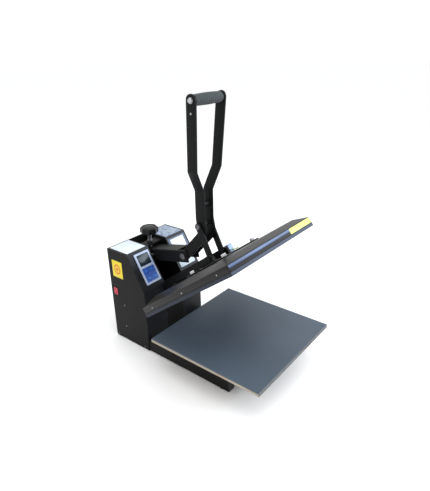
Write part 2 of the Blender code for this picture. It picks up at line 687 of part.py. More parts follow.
def make_switch():
    """The mains rocker in its housing, through the left side plate."""
    y, z = SWITCH_YZ
    a, b = SWITCH_SIZE[0] / 2, SWITCH_SIZE[1] / 2
    lip, outer, wall = SWITCH_WALL - GAP, -HALF - SWITCH_FLANGE, SWITCH_WALL
    low, high = (outer, y - a - lip, z - b - lip), (-HALF - GAP, y + a + lip, z + b + lip)
    housing = block("switch_housing", low, high, "moulded", 0.0005)
    low, high = (outer + SWITCH_FLANGE / 2, y - a, z - b), (-HALF + SWITCH_DEPTH, y + a, z + b)
    join(housing, block("switch_body", low, high))
    low = (outer - SWITCH_DEPTH, y - a + wall, z - b + wall)
    high = (-HALF + SWITCH_DEPTH - 3 * wall, y + a - wall, z + b - wall)
    cut(housing, block("switch_inside", low, high))
    centre_x = -HALF + ROCKER_INSET
    half = a - wall - ROCKER_PLAY
    # The rocker's face is an arc about its pivot, cut off above and below where the housing's walls stand.
    reach = (b - wall - ROCKER_PLAY) * cos(SWITCH_TILT) - 2 * ROCKER_PLAY
    spread = atan2(reach, sqrt(ROCKER_RADIUS**2 - reach**2))
    arc = [pi - spread * t for t in (1.0, 0.5, 0.0, -0.5, -1.0)]
    outline = [(centre_x + ROCKER_RADIUS * cos(t), z + ROCKER_RADIUS * sin(t)) for t in arc]
    outline += [(centre_x, z - reach), (centre_x, z + reach)]
    rocker = plate("switch_rocker", "XZ", outline, -y - half, 2 * half, "red")
    centre = pivot("switch_pivot", (centre_x, y, z))
    hang(centre, rocker)
    centre.rotation_euler = (0, SWITCH_TILT, 0)


# ---- arm and heated platen ------------------------------------------------------------------------
def make_cover():
    """The heater's cover: upright sides, a bevel all round, a flat top, open below, from one sheet."""
    bm = bmesh.new()
    bmesh.ops.create_cube(bm, size=1.0)
    for vert in bm.verts:
        is_top = vert.co.z > 0
        vert.co.x *= 2 * HEATER_HALF
        vert.co.y *= HEATER_LENGTH
        vert.co.z = COVER_SIDE if is_top else 0.0
    lid = max(bm.faces, key=lambda face: face.calc_center_median().z)
    raised = bmesh.ops.extrude_discrete_faces(bm, faces=[lid])["faces"][0]
    floor = min(bm.faces, key=lambda face: face.calc_center_median().z)
    bm.faces.remove(floor)
    for vert in raised.verts:
        vert.co.x -= COVER_BEVEL * (1 if vert.co.x > 0 else -1)
        vert.co.y -= COVER_BEVEL * (1 if vert.co.y > 0 else -1)
        vert.co.z += COVER_RISE
    middle = Matrix.Translation((0, (HEATER_REAR + HEATER_FRONT) / 2, COVER_BOTTOM))
    cover = place(mesh_of(bm, "platen_cover"), "platen_cover", "glazed_cover", middle)
    soften(cover, 0.002)
    skin = cover.modifiers.new("sheet", "SOLIDIFY")
    skin.thickness = COVER_SHEET
    skin.offset = -1
    return cover


def make_arm_bar(side, sign):
    """A flat bar on edge, from its boss on the pivot to its rounded end, which has the stud for a link.

    The link stops short of the stud, where the closed linkage is opened.
    """
    top = PLATEN_TOP + ARM_BAR_TOP
    low = MOUNT_TOP + GAP
    front = CLEVIS_CLOSED[0] - ARM_BAR_NOSE
    start = HEATER_REAR + ARM_BAR_HEEL
    corner, boss_radius = ARM_BAR_CORNER, ARM_BOSS_RADIUS
    turns = [radians(t) for t in range(75, -106, -15)]
    boss = [(ARM_PIVOT[0] + boss_radius * cos(t), ARM_PIVOT[1] + boss_radius * sin(t)) for t in turns]
    turns = [radians(t) for t in (180, 157.5, 135, 112.5, 90)]
    nose = [(front + corner + corner * cos(t), top - corner + corner * sin(t)) for t in turns]
    outline = [(front, low), *nose, (ARM_PIVOT[0] - ARM_BAR_NECK, top), *boss, (start, low)]
    hole = circle(ARM_PIVOT, ARM_SHAFT_RADIUS + RUNNING)
    inner = sign * ARM_BAR_X - ARM_BAR_THICKNESS / 2
    bar = plate(f"arm_bar_{side}", "YZ", outline, inner, ARM_BAR_THICKNESS, "black_coat", [hole])
    middle = (sign * (ARM_BAR_X + STUD_END / 2), *CLEVIS_CLOSED)
    return join(bar, rod(f"clevis_stud_{side}", "X", middle, CLEVIS_STUD_RADIUS, STUD_END, sides=24))


def make_spring():
    """The coil round the arm's hub that lifts the platen, with a tail at each end."""
    per_turn = 14
    radius, half = HUB_RADIUS + SPRING_CLEARANCE + SPRING_WIRE_RADIUS, SPRING_HALF
    curve = bpy.data.curves.new("return_spring", "CURVE")
    curve.dimensions = "3D"
    curve.bevel_depth = SPRING_WIRE_RADIUS
    curve.bevel_resolution = 1
    curve.use_fill_caps = True
    steps = SPRING_TURNS * per_turn
    coil = []
    for i in range(steps + 1):
        turn = 2 * pi * i / per_turn
        coil.append((-half + 2 * half * i / steps, radius * cos(turn), radius * sin(turn)))
    down, up = SPRING_TAILS
    lower_tail = [(-half, radius, -down), (-half, radius, -down / 3)]
    points = [*lower_tail, *coil, (half, radius, up / 5), (half, radius, up)]
    spline = curve.splines.new("POLY")
    spline.points.add(len(points) - 1)
    for point, (x, y, z) in zip(spline.points, points):
        point.co = (x, ARM_PIVOT[0] + y, ARM_PIVOT[1] + z, 1)
    spring = bpy.data.objects.new("return_spring", curve)
    PARTS.objects.link(spring)
    curve.materials.append(finish_of("spring_steel", "return_spring"))
    return spring


def make_arm():
    """Everything that swings on the arm's pivot, made closed and then swung open."""
    empty = pivot("arm_pivot", (0, *ARM_PIVOT), -OPENING)
    low = (-HEATER_HALF, HEATER_FRONT, HEATER_BOTTOM)
    high = (HEATER_HALF, HEATER_REAR, HEATER_BOTTOM + HEATER_THICKNESS)
    heater = block("heating_plate", low, high, "aluminium", 0.001)
    edge = COVER_SHEET + INSULATION_EDGE
    low = (-HEATER_HALF + edge, HEATER_FRONT + edge, COVER_BOTTOM)
    high = (HEATER_HALF - edge, HEATER_REAR - edge, COVER_BOTTOM + INSULATION_THICKNESS)
    insulation = block("insulation", low, high, "insulation")
    cover = make_cover()
    half_x, half_y = MOUNT_PLATE[0] / 2, MOUNT_PLATE[1] / 2
    low = (-half_x, PLATEN_MIDDLE - half_y, COVER_TOP + GAP)
    high = (half_x, PLATEN_MIDDLE + half_y, MOUNT_TOP)
    mount = block("mount_plate", low, high, "black_coat", 0.0008)
    bars = [make_arm_bar("left", -1), make_arm_bar("right", 1)]
    reach = ARM_BAR_X - ARM_BAR_THICKNESS / 2 - GAP
    bore = ARM_SHAFT_RADIUS + RUNNING
    hub_profile = [(HUB_RADIUS, reach), (HUB_RADIUS, -reach), (bore, -reach), (bore, reach)]
    hub = turned("arm_hub", "X", (0, *ARM_PIVOT), hub_profile, "bare_steel")
    x, y = TERMINAL_BOX_XY[0], PLATEN_MIDDLE + TERMINAL_BOX_XY[1]
    a, b = TERMINAL_BOX[0] / 2, TERMINAL_BOX[1] / 2
    low, high = (x - a, y - b, MOUNT_TOP + GAP), (x + a, y + b, MOUNT_TOP + GAP + TERMINAL_BOX[2])
    box = block("terminal_box", low, high, "galvanised", 0.0012)
    hang(empty, heater, insulation, cover, mount, *bars, hub, box)


# ---- yoke, screw, lever and links -----------------------------------------------------------------
def make_yoke():
    """The channel that carries the lever, tilted by the pressure screw about its shaft."""
    empty = pivot("yoke_pivot", (0, *YOKE_SHAFT))
    depth, wall = YOKE_DEPTH / 2, YOKE_WALL
    reach = hypot(*YOKE_REACH)
    frame = Matrix.Translation((0, *YOKE_SHAFT)) @ Matrix.Rotation(-YOKE_SLOPE, 4, "X")
    half = YOKE_WIDTH / 2
    low, high = (-half, -reach - YOKE_NOSE, -depth), (half, YOKE_TAIL, depth)
    yoke = block("yoke", low, high, "black_coat", 0.003, frame)
    low = (-half + wall, low[1] - depth, low[2] - depth)
    high = (half - wall, high[1] + depth, high[2] - wall)
    channel = block("yoke_channel", low, high, frame=frame)
    mouth = block("yoke_mouth", low, (high[0], YOKE_MOUTH - reach, 2 * depth), frame=frame)
    across, down = 3 * YOKE_WIDTH, 5 * YOKE_DEPTH
    holes = [
        rod("yoke_shaft_hole", "X", (0, *YOKE_SHAFT), YOKE_SHAFT_RADIUS + RUNNING, across),
        rod("lever_shaft_hole", "X", (0, *LEVER_SHAFT), LEVER_SHAFT_RADIUS + RUNNING, across),
        rod("screw_hole", "Z", (0, SCREW_Y, YOKE_SHAFT[1]), SCREW_RADIUS + SCREW_HEAD_PLAY, down),
    ]
    cut(yoke, channel, mouth, *holes)
    profile = headed(LEVER_SHAFT_RADIUS, half + END_PLAY, *LEVER_SHAFT_HEAD)
    shaft = turned("lever_shaft", "X", (0, *LEVER_SHAFT), profile, "bare_steel", 24)
    hang(empty, yoke, shaft)


def make_shafts():
    """The two shafts held by the towers' inner walls, and the bridge that holds the pressure screw."""
    outside = CHANNEL + WALL + END_PLAY
    arm_profile = headed(ARM_SHAFT_RADIUS, outside, *ARM_SHAFT_HEAD)
    turned("arm_shaft", "X", (0, *ARM_PIVOT), arm_profile, "bare_steel", 24)
    yoke_profile = headed(YOKE_SHAFT_RADIUS, outside, *YOKE_SHAFT_HEAD)
    turned("yoke_shaft", "X", (0, *YOKE_SHAFT), yoke_profile, "bare_steel", 24)
    reach, half = CHANNEL - GAP, BRIDGE_DEPTH / 2
    low, high = (-reach, SCREW_Y - half, BRIDGE_Z), (reach, SCREW_Y + half, BRIDGE_Z + BRIDGE_THICKNESS)
    bridge = block("screw_bridge", low, high, "black_coat")
    through = 10 * BRIDGE_THICKNESS
    cut(bridge, rod("bridge_hole", "Z", (0, SCREW_Y, BRIDGE_Z), SCREW_RADIUS + RUNNING, through, sides=24))


def make_knob():
    """The pressure knob, the threaded rod it turns and the collar that rests on the bridge."""
    empty = pivot("knob_axis", (0, SCREW_Y, KNOB_BASE))
    lobed = []
    steps = KNOB_LOBES * 6
    for i in range(steps):
        turn = 2 * pi * i / steps
        radius = KNOB_RADIUS - KNOB_FLUTE * (1 - cos(KNOB_LOBES * turn)) / 2
        lobed.append((radius * cos(turn), SCREW_Y + radius * sin(turn)))
    knob = plate("pressure_knob", "XY", lobed, KNOB_BASE, KNOB_HEIGHT, "moulded")
    soften(knob, 0.004)
    collar_low = BRIDGE_Z + BRIDGE_THICKNESS + GAP
    tail = YOKE_SHAFT[1] - YOKE_DEPTH
    top = KNOB_BASE - GAP
    chamfer = SCREW_RADIUS / 3
    profile = [
        (0, top), (COLLAR_RADIUS, top), (COLLAR_RADIUS, collar_low), (SCREW_RADIUS, collar_low),
        (SCREW_RADIUS, tail + chamfer), (SCREW_RADIUS - chamfer, tail), (0, tail),
    ]
    screw = turned("pressure_screw", "Z", (0, SCREW_Y, 0), profile, "bare_steel", 24)
    hang(empty, knob, screw)


def make_lever_bar(side, sign):
    """One flat bar of the lever: its shape from the side, meeting its shape from the front."""
    offsets = (GRIP_FROM_SHAFT, BEND_FROM_SHAFT, PINCH_FROM_SHAFT, RUN_END_FROM_SHAFT, KNEE_FROM_SHAFT)
    path = [from_lever_shaft(offset) for offset in offsets]
    side_view = band(bent([*path, LEVER_SHAFT], LEVER_SIDE_BEND), LEVER_WIDTH / 2, True, True)
    holes = [
        circle(GRIP, GRIP_BOLT_RADIUS + RUNNING, 24),
        circle(SPACER, GRIP_BOLT_RADIUS, 16),
        circle(LINK_SHAFT, LINK_SHAFT_RADIUS + GAP, 24),
        circle(LEVER_SHAFT, LEVER_SHAFT_RADIUS + RUNNING, 24),
    ]
    widest = 2 * LEVER_TOP_X
    bar = plate(f"lever_bar_{side}", "YZ", side_view, min(0.0, sign * widest), widest, "black_coat", holes)
    grip_z, bend_z, pinch_z = (z for _, z in path[:3])
    spread = (LEVER_TOP_X - LEVER_BEND_X) / (grip_z - bend_z)
    top_z, low_z = grip_z + LEVER_WIDTH, LEVER_SHAFT[1] - LEVER_WIDTH
    front = [
        (sign * (LEVER_TOP_X + spread * LEVER_WIDTH), top_z), (sign * LEVER_BEND_X, bend_z),
        (sign * LEVER_PINCH_X, pinch_z), (sign * LEVER_PINCH_X, low_z),
    ]
    strip = band(bent(front, LEVER_FRONT_BEND, 3), LEVER_THICKNESS / 2)
    ribbon = plate(f"lever_ribbon_{side}", "XZ", strip, -LEVER_SHAFT[0] - LEVER_WIDTH, GRIP[1] - low_z)
    return boolean(bar, ribbon, "INTERSECT")


def make_lever():
    """Both lever bars, the foam grip and its bolt, the spacer at the pinch and the links' upper shaft."""
    empty = pivot("lever_pivot", (0, *LEVER_SHAFT))
    bars = [make_lever_bar("left", -1), make_lever_bar("right", 1)]
    inside = LEVER_TOP_X - LEVER_THICKNESS / 2 - END_PLAY
    bore, ends = GRIP_BOLT_RADIUS + GAP, GRIP_RADIUS - GRIP_END_ROUNDING
    shares = [i / 6 for i in range(1, 6)]
    barrel = [(GRIP_RADIUS - GRIP_CROWN * (2 * t - 1) ** 2, inside * (1 - 2 * t)) for t in shares]
    profile = [(ends, inside), *barrel, (ends, -inside), (bore, -inside), (bore, inside)]
    grip = turned("handle_grip", "X", (0, *GRIP), profile, "foam")
    outside = LEVER_TOP_X + LEVER_THICKNESS / 2 + END_PLAY
    profile = headed(GRIP_BOLT_RADIUS, outside, *GRIP_BOLT_HEAD)
    bolt = turned("grip_bolt", "X", (0, *GRIP), profile, "bare_steel", 24)
    pinch_in = LEVER_PINCH_X - LEVER_THICKNESS / 2 - GAP
    spacer = rod("lever_spacer", "X", (0, *SPACER), SPACER_RADIUS, 2 * pinch_in, "bare_steel", 24)
    links_out = LINK_X + LINK_THICKNESS / 2 + END_PLAY
    profile = headed(LINK_SHAFT_RADIUS, links_out, *LINK_SHAFT_HEAD)
    shaft = turned("link_shaft", "X", (0, *LINK_SHAFT), profile, "bare_steel", 24)
    hang(empty, *bars, grip, bolt, spacer, shaft)


def make_links():
    """The two link plates, each with the bolt that stands in line with its arm bar's stud."""
    empty = pivot("link_pivot", (0, *LINK_SHAFT))
    for side, sign in (("left", -1), ("right", 1)):
        outline = band([LINK_SHAFT, CLEVIS_OPEN], LINK_WIDTH / 2, True, True)
        start = sign * LINK_X - LINK_THICKNESS / 2
        hole = circle(LINK_SHAFT, LINK_SHAFT_RADIUS + GAP, 24)
        link = plate(f"link_{side}", "YZ", outline, start, LINK_THICKNESS, "black_coat", [hole])
        inner = LINK_X - LINK_THICKNESS / 2 - LINK_BOLT_HEAD
        outer = LINK_X + LINK_THICKNESS / 2 + END_PLAY
        middle = (sign * (inner + outer) / 2, *CLEVIS_OPEN)
        bolt = rod(f"link_bolt_{side}", "X", middle, LINK_BOLT_RADIUS, outer - inner, sides=24)
        join(link, bolt)
        hang(empty, link)


def main():
    for side, sign in (("left", -1), ("right", 1)):
        make_leg(side, sign)
    make_cross_member("cross_member_front", LEG_FRONT + CROSS_SETBACK)
    make_cross_member("cross_member_rear", PEDESTAL_REAR - CROSS_INSET - CROSS_WIDTH)
    make_lower_platen()
    make_casing()
    make_electrics()
    make_control_panel()
    make_switch()
    make_shafts()
    make_spring()
    make_arm()
    make_yoke()
    make_knob()
    make_lever()
    make_links()


main()
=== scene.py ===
"""Looks of the clamshell heat press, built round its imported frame.

Metres, +Z up, +Y to the rear, +X to the right of someone standing in front. Each sub-assembly is a class
whose fields are its sizes, in metres. Its build method makes the pieces that stand for plain solids of the
frame or add to them, and its dress method gives the frame's own nodes their finishes.
"""

from __future__ import annotations

import json
import logging
from dataclasses import dataclass, field, replace
from enum import Enum
from math import atan2, cos, pi, radians, sin
from typing import Any, Sequence

import bmesh
import bpy
import numpy as np
from mathutils import Matrix, Vector

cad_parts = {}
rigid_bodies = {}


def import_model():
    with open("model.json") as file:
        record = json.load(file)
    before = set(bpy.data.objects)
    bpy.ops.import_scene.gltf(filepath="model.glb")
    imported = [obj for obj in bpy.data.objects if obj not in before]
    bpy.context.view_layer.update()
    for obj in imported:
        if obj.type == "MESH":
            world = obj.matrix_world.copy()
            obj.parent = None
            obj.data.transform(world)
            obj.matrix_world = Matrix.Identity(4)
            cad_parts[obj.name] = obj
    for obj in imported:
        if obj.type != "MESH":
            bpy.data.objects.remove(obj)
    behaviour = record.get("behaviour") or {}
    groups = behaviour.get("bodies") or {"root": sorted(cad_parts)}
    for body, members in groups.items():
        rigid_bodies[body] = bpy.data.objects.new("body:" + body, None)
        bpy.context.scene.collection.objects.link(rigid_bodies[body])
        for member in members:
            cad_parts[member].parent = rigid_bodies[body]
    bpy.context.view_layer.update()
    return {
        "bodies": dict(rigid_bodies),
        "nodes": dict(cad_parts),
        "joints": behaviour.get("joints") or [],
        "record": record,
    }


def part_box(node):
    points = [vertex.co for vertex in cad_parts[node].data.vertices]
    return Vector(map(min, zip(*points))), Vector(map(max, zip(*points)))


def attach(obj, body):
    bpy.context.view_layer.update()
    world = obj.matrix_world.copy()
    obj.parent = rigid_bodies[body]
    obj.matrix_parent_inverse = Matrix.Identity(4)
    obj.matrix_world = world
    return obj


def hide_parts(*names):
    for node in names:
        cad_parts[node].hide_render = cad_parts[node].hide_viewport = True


LOG = logging.getLogger("heat_press")
WELD = 1e-6
CREASE = radians(35)

Array = np.ndarray
Colour = tuple[float, float, float]


# ---- surfaces -------------------------------------------------------------------------------------
@dataclass
class Surface:
    """A surface worked out as arrays: its vertices, the vertex numbers of its faces, and its UV places."""

    vertices: Array
    faces: list[Array]
    uv: Array | None = None

    def moved(self, matrix: Matrix) -> Surface:
        """Returns the surface carried by a matrix."""
        turn = np.array(matrix.to_3x3())
        return Surface(self.vertices @ turn.T + np.array(matrix.translation), self.faces, self.uv)

    def shifted(self, x: float, y: float, z: float) -> Surface:
        """Returns the surface moved without a turn."""
        return self.moved(Matrix.Translation((x, y, z)))

    @staticmethod
    def joined(parts: Sequence[Surface]) -> Surface:
        """Puts several surfaces in one, each keeping its own UV places.

        Args:
            parts: the surfaces.

        Returns:
            One surface with all their faces.
        """
        faces, start = [], 0
        for part in parts:
            faces += [block + start for block in part.faces]
            start += len(part.vertices)
        uv = [part.uv if part.uv is not None else np.zeros((len(part.vertices), 2)) for part in parts]
        return Surface(np.vstack([part.vertices for part in parts]), faces, np.vstack(uv))


def grid_faces(rows: int, columns: int, closed: bool = True) -> Array:
    """Numbers the quads of a grid whose vertices run row by row.

    Args:
        rows: how many rings or rows of vertices there are.
        columns: how many vertices are in each.
        closed: whether the last column joins the first.

    Returns:
        Four vertex numbers for each quad.
    """
    last = columns if closed else columns - 1
    row, column = np.meshgrid(np.arange(rows - 1), np.arange(last), indexing="ij")
    after = (column + 1) % columns
    corners = [row * columns + column, row * columns + after]
    corners += [(row + 1) * columns + after, (row + 1) * columns + column]
    return np.stack(corners, -1).reshape(-1, 4)


def lofted(rings: Array, capped: bool = True, uv: Array | None = None) -> Surface:
    """Skins a stack of rings, rings[level, vertex], and closes its first and last ring with one face each."""
    levels, count = rings.shape[:2]
    faces = [grid_faces(levels, count)]
    if capped:
        faces += [np.arange(count)[None, ::-1], (levels - 1) * count + np.arange(count)[None]]
    return Surface(rings.reshape(-1, 3), faces, uv)


def rounded_rings(half_x: Array, half_y: Array, radius: Array, height: Array, steps: int = 5) -> Array:
    """Stacks rounded rectangles.

    A ring's point is its corner's centre, (half - radius) with the quadrant's signs, plus the radius along
    the direction that sweeps the quadrant's quarter turn.

    Args:
        half_x: half the width of each ring.
        half_y: half the depth of each ring.
        radius: the corner radius of each ring.
        height: the height of each ring.
        steps: facets in each quarter turn.

    Returns:
        rings[level, vertex] as points.
    """
    quadrant = np.repeat(np.arange(4), steps + 1)
    turn = quadrant * pi / 2 + np.tile(np.linspace(0, pi / 2, steps + 1), 4)
    sign_x = np.array([1, -1, -1, 1])[quadrant]
    sign_y = np.array([1, 1, -1, -1])[quadrant]
    half_x, half_y, radius, height = (np.asarray(a, float)[:, None] for a in (half_x, half_y, radius, height))
    x = sign_x * (half_x - radius) + radius * np.cos(turn)
    y = sign_y * (half_y - radius) + radius * np.sin(turn)
    return np.stack([x, y, np.broadcast_to(height, x.shape)], -1)


def slab(size: Sequence[float], corner: float, edge: float, steps: int = 4) -> Surface:
    """A block with rounded upright corners and rounded upper and lower edges, about its middle.

    Its profile is a quarter circle of the edge's radius, up from the bottom, and another at the top. The
    UV places run from 0 to 1 across and up its face.
    """
    half = np.array(size) / 2
    turn = np.linspace(-pi / 2, 0, steps + 1)
    inset, climb = edge - edge * np.cos(turn), edge + edge * np.sin(turn)
    height = np.concatenate([climb - half[2], half[2] - climb[::-1]])
    inset = np.concatenate([inset, inset[::-1]])
    rings = rounded_rings(half[0] - inset, half[1] - inset, np.maximum(corner - inset, 1e-5), height)
    uv = rings[..., :2].reshape(-1, 2) / size[:2] + 0.5
    return lofted(rings, True, uv)


def turned(profile: Sequence[Sequence[float]], sides: int = 32) -> Surface:
    """Turns a profile of (radius, height) about Z: x is radius times the cosine of the turn, y its sine."""
    points = np.array(profile, float)
    turn = np.arange(sides) * 2 * pi / sides
    radius, height = points[:, 0, None], points[:, 1, None]
    rings = np.stack([radius * np.cos(turn), radius * np.sin(turn), height + 0 * turn], -1)
    return lofted(rings)


def disc(radius: float, thickness: float, sides: int = 28) -> Surface:
    """A flat disc standing on Z = 0."""
    return turned([(0, 0), (radius, 0), (radius, thickness), (0, thickness)], sides)


def bush(radius: float, half: float, chamfer: float, bore: float = 0.0) -> Surface:
    """A round bar along Z about its middle, its rims chamfered and its end faces starting at the bore."""
    flat = radius - chamfer
    return turned([(bore, -half), (flat, -half), (radius, -half + chamfer),
                   (radius, half - chamfer), (flat, half), (bore, half)])


def hexagon(across: float, height: float, chamfer: float = 0.0006) -> Surface:
    """A hexagon head standing on Z = 0, its corners cut by a chamfer.

    Its radius at a turn is half the width over flats, divided by the cosine of the turn from the nearest
    flat's middle; at the top it is held to a little over half the width over flats.
    """
    turn = np.arange(36) * 2 * pi / 36
    radius = across / 2 / np.cos((turn + pi / 6) % (pi / 3) - pi / 6)
    radius = np.stack([radius, radius, np.minimum(radius, across / 2 * 1.01)])
    level = np.array([0.0, height - chamfer, height])[:, None]
    return lofted(np.stack([radius * np.cos(turn), radius * np.sin(turn), level + 0 * turn], -1))


def screw_head(radius: float, height: float) -> Surface:
    """A domed head standing on Z = 0, with a cross recess.

    The recess's radius is a core plus arms that follow the eighth power of the cosine of twice the turn.
    """
    turn = np.arange(48) * 2 * pi / 48
    dome = np.linspace(0, 0.9, 5) * pi / 2
    outer = radius * np.cos(dome)[:, None] + 0 * turn
    outer_z = height * (0.25 + 0.75 * np.sin(dome))[:, None] + 0 * turn
    star = radius * (0.14 + 0.42 * np.cos(2 * turn) ** 8)
    rings = np.vstack([outer[:1], outer, np.stack([star, star * 0.8])])
    levels = np.vstack([0 * outer_z[:1], outer_z, np.stack([outer_z[-1], outer_z[-1] - height * 0.5])])
    return lofted(np.stack([rings * np.cos(turn), rings * np.sin(turn), levels], -1))


def arc_path(points: Sequence[Sequence[float]], radius: float, steps: int = 6) -> Array:
    """Rounds a path's inner corners.

    Each corner gives way to the arc of the given radius that touches both of its sides, worked out by
    turning the radius to the first side's touching point evenly into the radius to the second's.

    Args:
        points: the path's corners, in any number of dimensions.
        radius: the arcs' radius.
        steps: facets in each arc.

    Returns:
        The points of the rounded path.
    """
    corners = [np.asarray(point, float) for point in points]
    path = [corners[0][None]]
    for before, corner, after in zip(corners, corners[1:], corners[2:]):
        back = (before - corner) / np.linalg.norm(before - corner)
        onward = (after - corner) / np.linalg.norm(after - corner)
        half = np.arccos(np.clip(back @ onward, -1, 1)) / 2
        bisector = (back + onward) / np.linalg.norm(back + onward)
        middle = corner + bisector * radius / np.sin(half)
        start = corner + back * radius / np.tan(half) - middle
        end = corner + onward * radius / np.tan(half) - middle
        swing = pi - 2 * half
        share = np.linspace(0, 1, steps + 1)[:, None]
        arc = (np.sin((1 - share) * swing) * start + np.sin(share * swing) * end) / np.sin(swing)
        path.append(middle + arc)
    return np.vstack([*path, corners[-1][None]])


def tube(path: Array, radius: float, across: Sequence[float], sides: int = 10) -> Surface:
    """A round tube along a path: each ring stands on the path's tangent, turned from a fixed direction.

    Args:
        path: the centreline's points.
        radius: the tube's radius.
        across: a direction that the path never runs along, from which the rings' turn is counted.
        sides: facets round the tube.

    Returns:
        The tube, closed at both ends, with UV places round it and along it in metres.
    """
    tangent = np.gradient(path, axis=0)
    tangent /= np.linalg.norm(tangent, axis=1)[:, None]
    first = np.cross(tangent, np.array(across, float))
    first /= np.linalg.norm(first, axis=1)[:, None]
    second = np.cross(tangent, first)
    turn = np.arange(sides) * 2 * pi / sides
    ring = first[:, None] * np.cos(turn)[:, None] + second[:, None] * np.sin(turn)[:, None]
    along = np.concatenate([[0], np.cumsum(np.linalg.norm(np.diff(path, axis=0), axis=1))])
    uv = np.stack(np.broadcast_arrays(turn[None] / (2 * pi), along[:, None]), -1).reshape(-1, 2)
    return lofted(path[:, None] + radius * ring, True, uv)


def flat_bar(side: Array, half_width: float, thickness: float, across: Array, edge: float) -> Surface:
    """A flat bar on edge whose ends are half round, bent in two directions.

    Its section is a rounded rectangle. The width lies along the normal of the path in the Y-Z plane, and
    the thickness along X, about the X that the second path has at the point's own height.

    Args:
        side: the centreline from the side, as (y, z) points.
        half_width: half the bar's width.
        thickness: its thickness, at right angles to its face.
        across: the centreline from the front, as (z, x) points with rising z.
        edge: the radius of its edges.

    Returns:
        The closed bar.
    """
    tangent = np.gradient(side, axis=0)
    tangent /= np.linalg.norm(tangent, axis=1)[:, None]
    turn = np.linspace(pi / 2, 0, 9)[:-1]
    head = side[0] - tangent[0] * np.sin(turn)[:, None] * half_width
    tail = side[-1] + tangent[-1] * np.sin(turn[::-1])[:, None] * half_width
    centre = np.vstack([head, side, tail])
    along = np.vstack([np.repeat(tangent[:1], 8, 0), tangent, np.repeat(tangent[-1:], 8, 0)])
    share = np.concatenate([np.cos(turn), np.ones(len(side)), np.cos(turn[::-1])])
    normal = np.stack([-along[:, 1], along[:, 0]], -1)
    width = np.maximum(half_width * share, 1e-5)
    section = rounded_rings(width, np.full(len(width), thickness / 2), np.minimum(edge, width), 0 * width, 3)
    flat = centre[:, None] + section[..., :1] * normal[:, None]
    slope = np.interp(flat[..., 1], across[:, 0], np.gradient(across[:, 1], across[:, 0]))
    x = np.interp(flat[..., 1], across[:, 0], across[:, 1]) + section[..., 1] * np.sqrt(1 + slope**2)
    return lofted(np.concatenate([x[..., None], flat], -1))


def threaded_rod(radius: float, depth: float, pitch: float, low: float, high: float) -> Surface:
    """A threaded rod on Z: its radius falls from the crest by the thread's depth, as a triangle wave.

    The wave's phase is the height in pitches less the turn, so its crest climbs one pitch each turn.
    """
    turn = np.arange(24) / 24
    height = np.arange(low, high, pitch / 6)[:, None]
    wave = np.abs(2 * ((height / pitch - turn) % 1) - 1)
    reach = radius - depth * wave
    angle = 2 * pi * turn
    return lofted(np.stack([reach * np.cos(angle), reach * np.sin(angle), height + 0 * turn], -1))


def spring_coil(radius: float, wire: float, half: float, turns: int, tails: Sequence[float]) -> Surface:
    """A coil about X with a tail at each end: the path's Y and Z are the cosine and sine of its turn."""
    turn = np.linspace(0, 2 * pi * turns, turns * 32 + 1)
    coil = np.stack([-half + 2 * half * turn / turn[-1], radius * np.cos(turn), radius * np.sin(turn)], -1)
    down = np.stack([np.full(6, -half), np.full(6, radius), np.linspace(-tails[0], -wire, 6)], -1)
    up = np.stack([np.full(6, half), np.full(6, radius), np.linspace(wire, tails[1], 6)], -1)
    return tube(np.vstack([down, coil, up]), wire, (1, 0, 0))


def sponge(size: Sequence[float], edge: float, waviness: float, count: int = 90) -> Surface:
    """A flat sponge sheet about its middle, its edges rounded and its upper face a little uneven.

    Half its thickness is scaled by a quarter ellipse of the distance from the nearest edge, and the upper
    face sinks by the waviness times a product of two slow sines.
    """
    half = np.array(size) / 2
    spread = np.sin(np.linspace(-pi / 2, pi / 2, count))
    x, y = np.meshgrid(half[0] * spread, half[1] * spread)
    nearest = np.minimum(np.minimum(half[0] - np.abs(x), half[1] - np.abs(y)), edge)
    swell = half[2] * np.sqrt(np.maximum(1 - (1 - nearest / edge) ** 2, 0))
    dips = waviness * (nearest / edge) * (1 + np.sin(31 * x + 0.7) * np.sin(27 * y)) / 2
    top = np.stack([x, y, swell - dips], -1).reshape(-1, 3)
    bottom = np.stack([x, y, -swell], -1).reshape(-1, 3)
    faces = grid_faces(count, count, False)
    return Surface(np.vstack([top, bottom]), [faces, faces[:, ::-1] + count * count])


